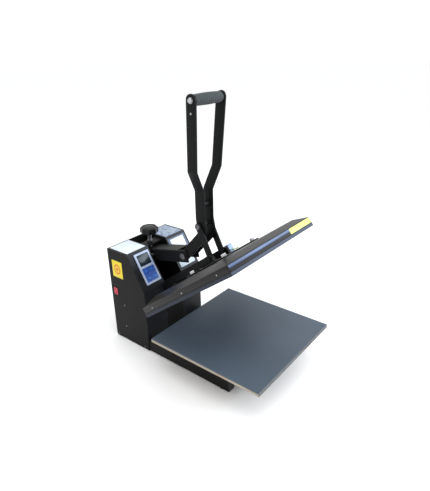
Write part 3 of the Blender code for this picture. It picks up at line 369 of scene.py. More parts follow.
# ---- finishes -------------------------------------------------------------------------------------
class Sheet:
    """A material's node tree, with short calls for the nodes that the finishes share."""

    def __init__(self, name: str) -> None:
        """Starts a material with one Principled shader."""
        self.material = bpy.data.materials.new(name)
        self.material.use_nodes = True
        self.tree = self.material.node_tree
        self.shader = self.tree.nodes["Principled BSDF"]

    def add(self, kind: str, inputs: dict[str, Any] | None = None, **attributes: Any) -> bpy.types.Node:
        """Adds a node.

        Args:
            kind: the node's type.
            inputs: a value, or a socket to link, for each named input.
            attributes: the node's own settings.

        Returns:
            The node.
        """
        node = self.tree.nodes.new(kind)
        for name, value in attributes.items():
            setattr(node, name, value)
        for name, value in (inputs or {}).items():
            socket = node.inputs[int(name)] if name.isdigit() else node.inputs[name]
            if isinstance(value, bpy.types.NodeSocket):
                self.tree.links.new(value, socket)
            else:
                socket.default_value = value
        return node

    def place(self, source: str = "Object", stretch: Sequence[float] = (1, 1, 1)) -> bpy.types.NodeSocket:
        """Returns the Object or UV place, stretched along its axes."""
        place = self.add("ShaderNodeTexCoord").outputs[source]
        return self.add("ShaderNodeMapping", {"Vector": place, "Scale": stretch}).outputs[0]

    def noise(self, scale: float, detail: float = 3.0, place: Any = None) -> bpy.types.NodeSocket:
        """Returns the value of a noise at a scale."""
        inputs = {"Vector": place or self.place(), "Scale": scale, "Detail": detail}
        return self.add("ShaderNodeTexNoise", inputs).outputs[0]

    def spread(self, value: Any, low: float, high: float, to_low: float, to_high: float) -> Any:
        """Returns a value carried from one range to another and held to it."""
        inputs = {"0": value, "1": low, "2": high, "3": to_low, "4": to_high}
        return self.add("ShaderNodeMapRange", inputs).outputs[0]

    def maths(self, operation: str, one: Any, two: Any) -> bpy.types.NodeSocket:
        """Returns a Math node's result."""
        return self.add("ShaderNodeMath", {"0": one, "1": two}, operation=operation).outputs[0]

    def off(self, value: Any, middle: float) -> bpy.types.NodeSocket:
        """Returns how far a value is from a middle, either way."""
        return self.maths("ABSOLUTE", self.maths("SUBTRACT", value, middle), 0.0)

    def mix(self, share: Any, one: Any, two: Any) -> bpy.types.NodeSocket:
        """Returns a colour between two, each a colour or a socket."""
        inputs = {"0": share, "6": _rgba(one), "7": _rgba(two)}
        return self.add("ShaderNodeMix", inputs, data_type="RGBA").outputs[2]

    def bump(self, height: Any, depth: float, strength: float = 1.0) -> Any:
        """Returns a normal raised by a height, in metres at full height."""
        inputs = {"Height": height, "Distance": depth, "Strength": strength}
        return self.add("ShaderNodeBump", inputs).outputs[0]

    def facing(self, one: Any, two: Any) -> bpy.types.NodeSocket:
        """Returns how nearly two directions agree: the cosine between them."""
        inputs = {"0": one, "1": two}
        return self.add("ShaderNodeVectorMath", inputs, operation="DOT_PRODUCT").outputs["Value"]

    def own_normal(self) -> bpy.types.NodeSocket:
        """Returns the normal in the piece's own axes, which a joint doesn't turn."""
        return self.add("ShaderNodeTexCoord").outputs["Normal"]

    def from_middle(self) -> bpy.types.NodeSocket:
        """Returns the larger of a UV place's two distances from the middle of its map."""
        place = self.add("ShaderNodeTexCoord").outputs["UV"]
        apart = self.add("ShaderNodeSeparateXYZ", {"0": place}).outputs
        far = [self.off(axis, 0.5) for axis in apart[:2]]
        return self.maths("MAXIMUM", *far)

    def set(self, **inputs: Any) -> bpy.types.Material:
        """Sets or links the shader's inputs, underscores standing for spaces; returns the material."""
        for name, value in inputs.items():
            socket = self.shader.inputs[name.replace("_", " ")]
            if isinstance(value, bpy.types.NodeSocket):
                self.tree.links.new(value, socket)
            else:
                socket.default_value = _rgba(value)
        return self.material


def _rgba(value: Any) -> Any:
    """Returns a colour of three numbers with its alpha, and anything else as it is."""
    return (*value, 1.0) if isinstance(value, tuple) and len(value) == 3 else value


@dataclass(frozen=True)
class Finish:
    """What every finish has: a name, a colour and a roughness."""

    name: str
    colour: Colour
    roughness: float

    def shade(self, factor: float) -> Colour:
        """Returns the colour, lighter or darker."""
        return tuple(min(1.0, part * factor) for part in self.colour)


@dataclass(frozen=True)
class Enamel(Finish):
    """Stove enamel on sheet or bar: fine orange peel, faint dust, edges rubbed paler, and on faces turned to
    front a painted reflection colour.
    """

    wear: float = 0.6
    edge: float = 0.0012
    peel: float = 0.00003
    worn: Colour = (0.16, 0.16, 0.165)
    specular: float = 0.35
    # front: faces whose own normal runs along it get a painted reflection, a streaky blue-steel colour
    # standing in for the surroundings seen in the glossy enamel
    front: Vector | None = None
    front_colour: Colour = (0.060, 0.092, 0.185)

    def material(self) -> bpy.types.Material:
        """Makes the material; a face whose own normal runs along front is painted with a streaky blue
        reflection colour, a painted reflection.
        """
        sheet = Sheet(self.name)
        cloudy = sheet.noise(7.0, 5.0)
        fine = sheet.noise(420.0, 2.0)
        patchy = sheet.noise(60.0, 4.0)
        softened = sheet.add("ShaderNodeBevel", {"Radius": self.edge}, samples=4).outputs[0]
        normal = sheet.add("ShaderNodeNewGeometry").outputs["Normal"]
        edge = sheet.spread(sheet.facing(softened, normal), 0.99, 0.86, 0.0, 1.0)
        rubbed = sheet.maths("MULTIPLY", edge, sheet.spread(patchy, 0.42, 0.68, 0.05, self.wear))
        base = sheet.mix(sheet.spread(cloudy, 0.3, 0.7, 0.0, 1.0), self.shade(0.82), self.shade(1.22))
        # Painted reflection: faces turned to front take a streaky blue-steel colour in place of the enamel's
        # black, standing in for reflected surroundings.
        if self.front is not None:
            share = sheet.spread(sheet.facing(sheet.own_normal(), self.front), 0.93, 0.985, 0.0, 1.0)
            streaks = sheet.noise(10.0, 4.0, sheet.place(stretch=(1.0, 6.0, 6.0)))
            paler = tuple(part * 1.5 for part in self.front_colour)
            painted_reflection_tint = sheet.mix(sheet.spread(streaks, 0.35, 0.65, 0.0, 1.0), self.front_colour, paler)
            base = sheet.mix(share, base, painted_reflection_tint)
        roughness = sheet.spread(cloudy, 0.3, 0.75, self.roughness - 0.05, self.roughness + 0.09)
        return sheet.set(
            Base_Color=sheet.mix(rubbed, base, self.worn),
            Roughness=roughness,
            Specular_IOR_Level=self.specular,
            Normal=sheet.bump(fine, self.peel, 0.6),
        )


@dataclass(frozen=True)
class Steel(Finish):
    """Turned or plated steel: fine tool marks, cloudy plating and slight staining."""

    def material(self) -> bpy.types.Material:
        """Makes the material."""
        sheet = Sheet(self.name)
        marks = sheet.noise(160.0, 4.0, sheet.place(stretch=(14.0, 1.0, 1.0)))
        stain = sheet.noise(45.0, 4.0)
        base = sheet.mix(sheet.spread(stain, 0.4, 0.75, 0.0, 1.0), self.colour, self.shade(0.55))
        roughness = sheet.spread(marks, 0.3, 0.7, self.roughness - 0.08, self.roughness + 0.1)
        return sheet.set(
            Base_Color=base, Roughness=roughness, Metallic=1.0, Normal=sheet.bump(marks, 0.00002, 0.4)
        )


@dataclass(frozen=True)
class Sponge(Finish):
    """Silicone sponge or foam: closed cells at the surface, and a slow change of shade."""

    cell: float = 900.0
    depth: float = 0.00005
    sheen: float = 0.0

    def material(self) -> bpy.types.Material:
        """Makes the material."""
        sheet = Sheet(self.name)
        slow = sheet.noise(5.0, 2.0)
        inputs = {"Vector": sheet.place(), "Scale": self.cell}
        cells = sheet.add("ShaderNodeTexVoronoi", inputs).outputs["Distance"]
        grain = sheet.noise(self.cell * 0.4, 2.0)
        shade = sheet.mix(sheet.spread(slow, 0.3, 0.7, 0.0, 1.0), self.shade(0.86), self.shade(1.14))
        base = sheet.mix(sheet.spread(grain, 0.35, 0.65, 0.0, 0.25), shade, self.shade(0.6))
        height = sheet.maths("ADD", cells, sheet.maths("MULTIPLY", grain, 0.5))
        return sheet.set(
            Base_Color=base,
            Roughness=sheet.spread(grain, 0.3, 0.7, self.roughness - 0.05, self.roughness + 0.06),
            Sheen_Weight=self.sheen,
            Normal=sheet.bump(height, self.depth, 0.7),
        )


@dataclass(frozen=True)
class SawnBoard(Finish):
    """A composite board: a plain face, and thin darker plies and brown scorches along its sawn edges."""

    ply: float = 520.0
    scorch: Colour = (0.20, 0.09, 0.04)
    sealed: Colour = (0.050, 0.052, 0.056)
    grain: float = 0.00015

    def material(self) -> bpy.types.Material:
        """Makes the material; the edges that face the front and the rear are darker."""
        sheet = Sheet(self.name)
        streaks = sheet.noise(14.0, 6.0, sheet.place(stretch=(1.0, 1.0, 30.0)))
        scorched = sheet.noise(9.0, 3.0)
        plies = sheet.add("ShaderNodeTexWave", {"Vector": sheet.place(), "Scale": self.ply / 2 / pi,
                                               "Distortion": 1.5, "Detail": 2.0}, bands_direction="Z")
        layered = sheet.mix(sheet.spread(plies.outputs[1], 0.2, 0.8, 0.0, 0.5), self.colour, self.shade(0.62))
        streaky = sheet.mix(sheet.spread(streaks, 0.45, 0.7, 0.0, 0.6), layered, self.shade(1.25))
        base = sheet.mix(sheet.spread(scorched, 0.60, 0.72, 0.0, 0.75), streaky, self.scorch)
        # Edges facing front and rear are given a flat dark grey instead of the sawn colour.
        own = sheet.add("ShaderNodeSeparateXYZ", {"0": sheet.own_normal()})
        ends = sheet.spread(sheet.maths("ABSOLUTE", own.outputs[1], 0.0), 0.6, 0.8, 0.0, 0.9)
        return sheet.set(
            Base_Color=sheet.mix(ends, base, self.sealed),
            Roughness=self.roughness,
            Normal=sheet.bump(streaks, self.grain, 0.7),
        )


@dataclass(frozen=True)
class Moulding(Finish):
    """Moulded plastic with a fine spark texture."""

    texture: float = 0.00003
    coat: float = 0.0
    specular: float = 0.3

    def material(self) -> bpy.types.Material:
        """Makes the material."""
        sheet = Sheet(self.name)
        spark = sheet.noise(1100.0, 2.0)
        slow = sheet.noise(22.0, 3.0)
        base = sheet.mix(sheet.spread(slow, 0.35, 0.7, 0.0, 1.0), self.shade(0.9), self.shade(1.15))
        return sheet.set(
            Base_Color=base,
            Roughness=sheet.spread(spark, 0.3, 0.7, self.roughness - 0.05, self.roughness + 0.07),
            Coat_Weight=self.coat,
            Specular_IOR_Level=self.specular,
            Normal=sheet.bump(spark, self.texture, 0.6),
        )


class Print(Enum):
    """What a film or label carries. None of it is lettering."""

    PLAIN = "plain"
    BORDERED = "bordered"
    MARK = "mark"
    MOTTLED = "mottled"
    STRIPED = "striped"


@dataclass(frozen=True)
class Film(Finish):
    """A printed film or label, its print laid out on the piece's own UV map."""

    kind: Print = Print.PLAIN
    second: Colour = (0.1, 0.1, 0.1)
    border: float = 0.08

    def _border(self, sheet: Sheet) -> Any:
        """Returns 1 within the border's width of the film's edge."""
        return sheet.spread(sheet.from_middle(), 0.495 - self.border, 0.505 - self.border, 0.0, 1.0)

    def _mark(self, sheet: Sheet) -> Any:
        """Returns 1 on a plain ring about a dot, by the distance from the film's middle."""
        place = sheet.add("ShaderNodeTexCoord").outputs["UV"]
        off = {"0": place, "1": (0.5, 0.5, 0.0)}
        reach = sheet.add("ShaderNodeVectorMath", off, operation="DISTANCE").outputs["Value"]
        ring = sheet.spread(sheet.off(reach, 0.26), 0.06, 0.04, 0.0, 1.0)
        return sheet.maths("MAXIMUM", ring, sheet.spread(reach, 0.13, 0.10, 0.0, 1.0))

    def _print(self, sheet: Sheet) -> Any:
        """Returns how much of the second colour shows at each place."""
        if self.kind is Print.BORDERED:
            return self._border(sheet)
        if self.kind is Print.MARK:
            return self._mark(sheet)
        if self.kind is Print.MOTTLED:
            return sheet.spread(sheet.noise(90.0, 4.0), 0.46, 0.58, 0.0, 0.9)
        if self.kind is Print.STRIPED:
            wave = {"Vector": sheet.place("UV"), "Scale": 2.4, "Distortion": 0.0}
            bars = sheet.add("ShaderNodeTexWave", wave, bands_direction="X").outputs[1]
            inside = sheet.maths("SUBTRACT", 1.0, self._border(sheet))
            return sheet.maths("MULTIPLY", sheet.spread(bars, 0.6, 0.75, 0.0, 0.6), inside)
        return sheet.spread(sheet.noise(60.0, 4.0), 0.5, 0.8, 0.0, 0.35)

    def material(self) -> bpy.types.Material:
        """Makes the material."""
        sheet = Sheet(self.name)
        soiled = sheet.noise(35.0, 4.0)
        printed = sheet.mix(self._print(sheet), self.colour, self.second)
        base = sheet.mix(sheet.spread(soiled, 0.55, 0.8, 0.0, 0.35), printed, self.shade(0.5))
        return sheet.set(
            Base_Color=base,
            Roughness=sheet.spread(soiled, 0.3, 0.7, self.roughness - 0.04, self.roughness + 0.1),
            Normal=sheet.bump(sheet.noise(300.0, 2.0), 0.00001, 0.5),
        )


@dataclass(frozen=True)
class CoatedPlate(Finish):
    """The heater: ground metal on its edges, and a dark release coat on the face that presses."""

    down: Vector = field(default_factory=lambda: Vector((0, 0, -1)))
    coat_colour: Colour = (0.03, 0.032, 0.034)

    def material(self) -> bpy.types.Material:
        """Makes the material; the coat is where the piece's own normal runs along down."""
        sheet = Sheet(self.name)
        coated = sheet.spread(sheet.facing(sheet.own_normal(), self.down), 0.6, 0.8, 0.0, 1.0)
        ground = sheet.noise(120.0, 4.0, sheet.place(stretch=(0.05, 1.0, 1.0)))
        metal = sheet.mix(sheet.spread(ground, 0.3, 0.7, 0.0, 1.0), self.shade(0.85), self.shade(1.1))
        return sheet.set(
            Base_Color=sheet.mix(coated, metal, self.coat_colour),
            Roughness=sheet.spread(coated, 0.0, 1.0, self.roughness, 0.55),
            Metallic=sheet.maths("SUBTRACT", 1.0, coated),
            Normal=sheet.bump(ground, 0.00002, 0.4),
        )


@dataclass(frozen=True)
class Window(Finish):
    """The display's window: dark glass with a clear coat, and a paler field behind it."""

    field_colour: Colour = (0.016, 0.030, 0.036)

    def material(self) -> bpy.types.Material:
        """Makes the material; the field is held off the window's edges on its UV map."""
        sheet = Sheet(self.name)
        inside = sheet.spread(sheet.from_middle(), 0.39, 0.36, 0.0, 1.0)
        smear = sheet.noise(70.0, 3.0)
        return sheet.set(
            Base_Color=sheet.mix(inside, self.colour, self.field_colour),
            Roughness=sheet.spread(smear, 0.3, 0.7, self.roughness, self.roughness + 0.12),
            Specular_IOR_Level=0.15,
            Coat_Weight=0.12,
            Coat_Roughness=0.12,
        )


@dataclass(frozen=True)
class Finishes:
    """Every finish that the press wears."""

    casing: Finish = Enamel("casing_enamel", (0.0072, 0.0072, 0.0068), 0.42, wear=0.35,
                            specular=0.09)
    tower: Finish = Enamel("tower_enamel", (0.0085, 0.0095, 0.0115), 0.36, wear=0.7, worn=(0.17, 0.20, 0.25),
                           specular=0.16)
    arms: Finish = Enamel("arm_enamel", (0.0068, 0.0070, 0.0074), 0.38, wear=0.4, specular=0.10)
    cover: Finish = Enamel("cover_enamel", (0.0095, 0.0090, 0.0088), 0.30, wear=0.8, peel=0.00002,
                           worn=(0.20, 0.21, 0.24), specular=0.22)
    heater: Finish = CoatedPlate("heater_plate", (0.045, 0.05, 0.065), 0.5)
    steel: Finish = Steel("plated_steel", (0.52, 0.53, 0.55), 0.30)
    dark_steel: Finish = Steel("blackened_steel", (0.17, 0.17, 0.18), 0.38)
    zinc: Finish = Steel("bright_zinc", (0.22, 0.28, 0.42), 0.46)
    pad: Finish = Sponge("silicone_sponge", (0.060, 0.083, 0.112), 0.50)
    board: Finish = SawnBoard("platen_board", (0.36, 0.32, 0.26), 0.62)
    rubber: Finish = Sponge("foot_rubber", (0.012, 0.012, 0.012), 0.75, cell=1400.0)
    foam: Finish = Sponge("grip_foam", (0.011, 0.019, 0.022), 0.70, cell=1500.0, depth=0.00012, sheen=0.12)
    moulding: Finish = Moulding("black_moulding", (0.008, 0.008, 0.0085), 0.40)
    knob: Finish = Moulding("knob_moulding", (0.006, 0.006, 0.006), 0.30, texture=0.00001, specular=0.2)
    bezel: Finish = Film("bezel_film", (0.37, 0.44, 0.60), 0.34, second=(0.24, 0.30, 0.46))
    window: Finish = Window("display_window", (0.008, 0.014, 0.022), 0.14)
    keypad: Finish = Film("keypad_film", (0.020, 0.075, 0.34), 0.38, second=(0.012, 0.20, 0.30))
    keys: Finish = Moulding("key_caps", (0.030, 0.13, 0.50), 0.34, texture=0.00001, coat=0.2)
    rocker: Finish = Moulding("rocker_red", (0.52, 0.012, 0.045), 0.28, texture=0.000005, coat=0.5)
    white_label: Finish = Film("white_label", (0.62, 0.70, 0.77), 0.45, second=(0.50, 0.58, 0.66))
    framed_label: Finish = Film("framed_label", (0.78, 0.84, 0.86), 0.40, Print.BORDERED,
                                (0.085, 0.12, 0.20), 0.11)
    mottled_label: Finish = Film("worn_label", (0.28, 0.34, 0.43), 0.45, Print.MOTTLED, (0.12, 0.16, 0.25))
    yellow_label: Finish = Film("yellow_label", (0.72, 0.58, 0.015), 0.40, Print.MARK, (0.62, 0.16, 0.01))
    front_sticker: Finish = Film("front_sticker", (0.74, 0.80, 0.16), 0.42, Print.STRIPED,
                                 (0.28, 0.34, 0.08), 0.2)
    earth_wire: Finish = Film("earth_wire", (0.42, 0.52, 0.03), 0.42, Print.STRIPED, (0.03, 0.22, 0.03), -1.0)
    fibre: Finish = Sponge("fibre_board", (0.45, 0.43, 0.36), 0.9, cell=300.0, depth=0.0002)
    laminate: Finish = Moulding("circuit_laminate", (0.02, 0.15, 0.06), 0.4)

    def made(self) -> dict[str, bpy.types.Material]:
        """Returns each finish's material by the finish's field name."""
        return {name: getattr(self, name).material() for name in self.__dataclass_fields__}


# ---- the frame ------------------------------------------------------------------------------------
class Press:
    """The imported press: its nodes, its joints, its materials, and the axes its sub-assemblies are in."""

    def __init__(self, frame: dict[str, Any], finishes: Finishes) -> None:
        """Keeps the frame and makes the materials."""
        self.nodes = frame["nodes"]
        self.joints = {joint["name"]: joint for joint in frame["joints"]}
        self.slots = {row["node"]: row["material_slot"] for row in frame["record"]["subparts"]}
        self.body_of = {node: body for body, nodes in frame["record"]["behaviour"]["bodies"].items()
                        for node in nodes}
        self.finishes = finishes
        self.materials = finishes.made()

    def dress(self, finish: str, *nodes: str) -> None:
        """Gives nodes of the frame one finish."""
        for node in nodes:
            mesh = self.nodes[node].data
            mesh.materials.clear()
            mesh.materials.append(self.materials[finish])
        LOG.info("dressed %s in %s", ", ".join(nodes), finish)

    def joint_place(self, name: str) -> Vector:
        """Returns a joint's point."""
        return Vector(self.joints[name]["pos_m"])

    def arm_axes(self) -> Matrix:
        """Returns the arm's axes: the press's own, swung open about the arm's hinge."""
        about = Matrix.Translation(self.joint_place("arm_hinge"))
        opening = radians(self.joints["arm_hinge"]["range_deg"][1])
        return about @ Matrix.Rotation(-opening, 4, "X") @ about.inverted()

    def face_axes(self) -> Matrix:
        """Returns the control face's axes: X across, Y up the slope, Z out, from its keypad's middle."""
        out = -Vector(self.joints["press_key_upper_left"]["axis"])
        low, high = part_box("keypad")
        middle = (low + high) / 2
        return Matrix.Translation(middle) @ Matrix.Rotation(atan2(-out.y, out.z), 4, "X")

    def box_in(self, node: str, axes: Matrix) -> tuple[Array, Array]:
        """Returns a node's lowest and highest corner in other axes."""
        mesh = self.nodes[node].data
        places = np.zeros(len(mesh.vertices) * 3, np.float32)
        mesh.vertices.foreach_get("co", places)
        turn = np.array(axes.inverted().to_3x3())
        local = places.reshape(-1, 3) @ turn.T + np.array(axes.inverted().translation)
        return local.min(0), local.max(0)

    def piece(self, name: str, surface: Surface, finish: str, stands_for: Sequence[str] = (),
              body: str | None = None, slot: str | None = None, walled: float = 0.0) -> bpy.types.Object:
        """Makes a piece of a surface, puts it on its body, and hides the nodes that it stands for.

        Args:
            name: the piece's name.
            surface: its surface, in the press's own axes.
            finish: the finish that it wears.
            stands_for: the nodes that it replaces, the first of which gives its body.
            body: the body that it rides on, if it replaces no node.
            slot: the record's material slot, if it replaces no node; not used.
            walled: how thick a wall an open sheet gets, inwards.

        Returns:
            The piece.
        """
        mesh = bpy.data.meshes.new(name)
        faces = [face for block in surface.faces for face in block.tolist()]
        mesh.from_pydata(surface.vertices.tolist(), [], faces)
        if surface.uv is not None:
            corner = np.zeros(len(mesh.loops), np.int32)
            mesh.loops.foreach_get("vertex_index", corner)
            layer = mesh.uv_layers.new(name="UVMap")
            layer.data.foreach_set("uv", surface.uv[corner].astype(np.float32).ravel())
        tidy = bmesh.new()
        tidy.from_mesh(mesh)
        bmesh.ops.remove_doubles(tidy, verts=tidy.verts, dist=WELD)
        bmesh.ops.dissolve_degenerate(tidy, dist=WELD, edges=tidy.edges)
        bmesh.ops.recalc_face_normals(tidy, faces=tidy.faces)
        tidy.to_mesh(mesh)
        tidy.free()
        mesh.shade_smooth()
        mesh.set_sharp_from_angle(angle=CREASE)
        mesh.materials.append(self.materials[finish])
        made = bpy.data.objects.new(name, mesh)
        bpy.context.scene.collection.objects.link(made)
        if walled:
            wall = made.modifiers.new("wall", "SOLIDIFY")
            wall.thickness = walled
            wall.offset = -1
        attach(made, body or self.body_of[stands_for[0]])
        if stands_for:
            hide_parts(*stands_for)
        LOG.info("made %s: %d faces", name, len(mesh.polygons))
        return made


def facing(middle: Sequence[float], out: str) -> Matrix:
    """Returns axes at a point whose Z runs out along a direction such as "-X" or "+Y"."""
    turns = {"+X": Matrix.Rotation(pi / 2, 4, "Y"), "-X": Matrix.Rotation(-pi / 2, 4, "Y"),
             "+Y": Matrix.Rotation(-pi / 2, 4, "X"), "-Y": Matrix.Rotation(pi / 2, 4, "X"),
             "+Z": Matrix.Identity(4), "-Z": Matrix.Rotation(pi, 4, "X")}
    return Matrix.Translation(middle) @ turns[out]


def lying(node: str) -> tuple[Matrix, float, float]:
    """Measures a round node that lies along X.

    Args:
        node: its name.

    Returns:
        Axes at its middle with their Z along +X, half its length, and its radius.
    """
    low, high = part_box(node)
    return facing((low + high) / 2, "+X"), (high.x - low.x) / 2, (high.z - low.z) / 2


# ---- sub-assemblies -------------------------------------------------------------------------------
@dataclass
class Base:
    """Legs, cross members, feet and pedestal, and the board and silicone pad of the lower platen."""

    press: Press
    pad_edge: float = 0.0016
    pad_waviness: float = 0.00015

    def dress(self) -> None:
        """Gives the frame's nodes their finishes."""
        sides = ("left", "right")
        self.press.dress("casing", *(f"leg_{side}" for side in sides), "cross_member_front",
                         "cross_member_rear", "platen_pedestal", "base_plate")
        self.press.dress("moulding", *(f"leg_cap_{side}" for side in sides))
        self.press.dress("rubber", *(f"foot_{end}_{side}" for end in ("front", "rear") for side in sides))
        self.press.dress("board", "lower_platen")

    def build(self) -> None:
        """Makes the silicone pad."""
        low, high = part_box("silicone_pad")
        sheet = sponge(tuple(high - low), self.pad_edge, self.pad_waviness).shifted(*(low + high) / 2)
        pad = self.press.piece("silicone_sheet", sheet, "pad", ["silicone_pad"])


@dataclass
class Casing:
    """The two towers and the panels between them, with their screws and labels."""

    press: Press
    screw_radius: float = 0.0032
    screw_height: float = 0.0016
    label: float = 0.00025
    label_corner: float = 0.002
    label_lift: float = 0.00003
    side_screws: Sequence[Sequence[float]] = ((0.251, 0.137), (0.253, 0.057), (0.296, 0.012), (0.169, 0.011))
    top_inset: float = 0.010
    top_edge: float = 0.0685  # from a tower's front to the front edge of its top
    side_label: Sequence[float] = (0.047, 0.058)
    side_label_at: Sequence[float] = (0.2675, 0.264)
    face_label: Sequence[float] = (0.078, 0.046)
    face_label_down: float = 0.032
    lower_label: Sequence[float] = (0.070, 0.040)
    lower_label_down: float = 0.062

    def dress(self) -> None:
        """Gives the frame's nodes their finishes."""
        sides = ("left", "right")
        self.press.dress("casing", *(f"side_plate_{side}" for side in sides), "rear_cover", "front_panel",
                         "channel_floor", *(f"inner_wall_{side}" for side in sides), "screw_bridge")
        self.press.dress("tower", *(f"tower_cover_{side}" for side in sides))
        self.press.dress("moulding", "heater_relay", "power_inlet")
        self.press.dress("laminate", "controller_board")
        self.press.dress("rocker", "switch_rocker", "switch_housing")
        self.press.dress("steel", "arm_shaft", "yoke_shaft")

    def _screws(self) -> Surface:
        """Returns the heads on both side plates and round the rear cover."""
        head = screw_head(self.screw_radius, self.screw_height)
        left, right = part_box("side_plate_left")[0].x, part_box("side_plate_right")[1].x
        made = [head.moved(facing((left, y, z), "-X")) for y, z in self.side_screws]
        made += [head.moved(facing((right, y, z), "+X")) for y, z in self.side_screws]
        low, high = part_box("rear_cover")
        inset = 2 * self.top_inset  # of the rear screws, from the cover's top and bottom
        for x in (low.x + self.top_inset, 0.0, high.x - self.top_inset):
            for z in (low.z + inset, high.z - inset):
                made.append(head.moved(facing((x, high.y, z), "+Y")))
        return Surface.joined(made)

    def _label(self, name: str, size: Sequence[float], axes: Matrix, finish: str) -> None:
        """Lays a label, its middle at the axes' origin and its face along their Z."""
        surface = slab((*size, self.label), self.label_corner, self.label / 3, 2)
        raised = surface.shifted(0, 0, self.label / 2 + self.label_lift)
        self.press.piece(name, raised.moved(axes), finish, body="frame", slot="panel_bezel")

    def build(self) -> None:
        """Makes the screws and the labels."""
        self.press.piece("casing_screws", self._screws(), "dark_steel", body="frame", slot="bare_steel")
        turn = self.press.face_axes().to_3x3().to_4x4()
        for side, finish in (("left", "white_label"), ("right", "mottled_label")):
            low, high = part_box(f"tower_cover_{side}")
            front = low.y + self.top_edge
            size = (high.x - low.x - self.top_inset, high.y - front - self.top_inset / 2)
            middle = ((low.x + high.x) / 2, (front + high.y) / 2, high.z)
            self._label(f"top_label_{side}", size, Matrix.Translation(middle), finish)
        low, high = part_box("tower_cover_right")
        top_edge = Vector(((low.x + high.x) / 2, low.y + self.top_edge, high.z))
        axes = Matrix.Translation(top_edge) @ turn @ Matrix.Translation((0, -self.face_label_down, 0))
        self._label("face_label_right", self.face_label, axes, "framed_label")
        lower = axes @ Matrix.Translation((0, -self.lower_label_down, 0))
        self._label("lower_label_right", self.lower_label, lower, "white_label")
        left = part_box("side_plate_left")[0].x
        upright = Matrix.Rotation(-pi / 2, 4, "Z") @ Matrix.Rotation(pi / 2, 4, "X")
        axes = Matrix.Translation((left, *self.side_label_at)) @ upright
        self._label("side_label_left", self.side_label, axes, "yellow_label")


@dataclass
class ControlPanel:
    """The display's window, the keypad and its caps, in their bezel."""

    press: Press
    key_edge: float = 0.0018
    key_corner: float = 0.0028
    window_edge: float = 0.0004
    window_corner: float = 0.0015

    def dress(self) -> None:
        """Gives the frame's nodes their finishes."""
        self.press.dress("bezel", "control_bezel")
        self.press.dress("keypad", "keypad")

    def _slab(self, name: str, node: str, corner: float, edge: float, finish: str) -> None:
        """Makes a rounded slab that fills a node's box on the control face."""
        axes = self.press.face_axes()
        low, high = self.press.box_in(node, axes)
        surface = slab(high - low, corner, edge).moved(axes @ Matrix.Translation((low + high) / 2))
        self.press.piece(name, surface, finish, [node])

    def build(self) -> None:
        """Makes the window and the four key caps."""
        self._slab("display_window", "display_lens", self.window_corner, self.window_edge, "window")
        for up in ("upper", "lower"):
            for side in ("left", "right"):
                self._slab(f"key_cap_{up}_{side}", f"key_{up}_{side}", self.key_corner, self.key_edge, "keys")


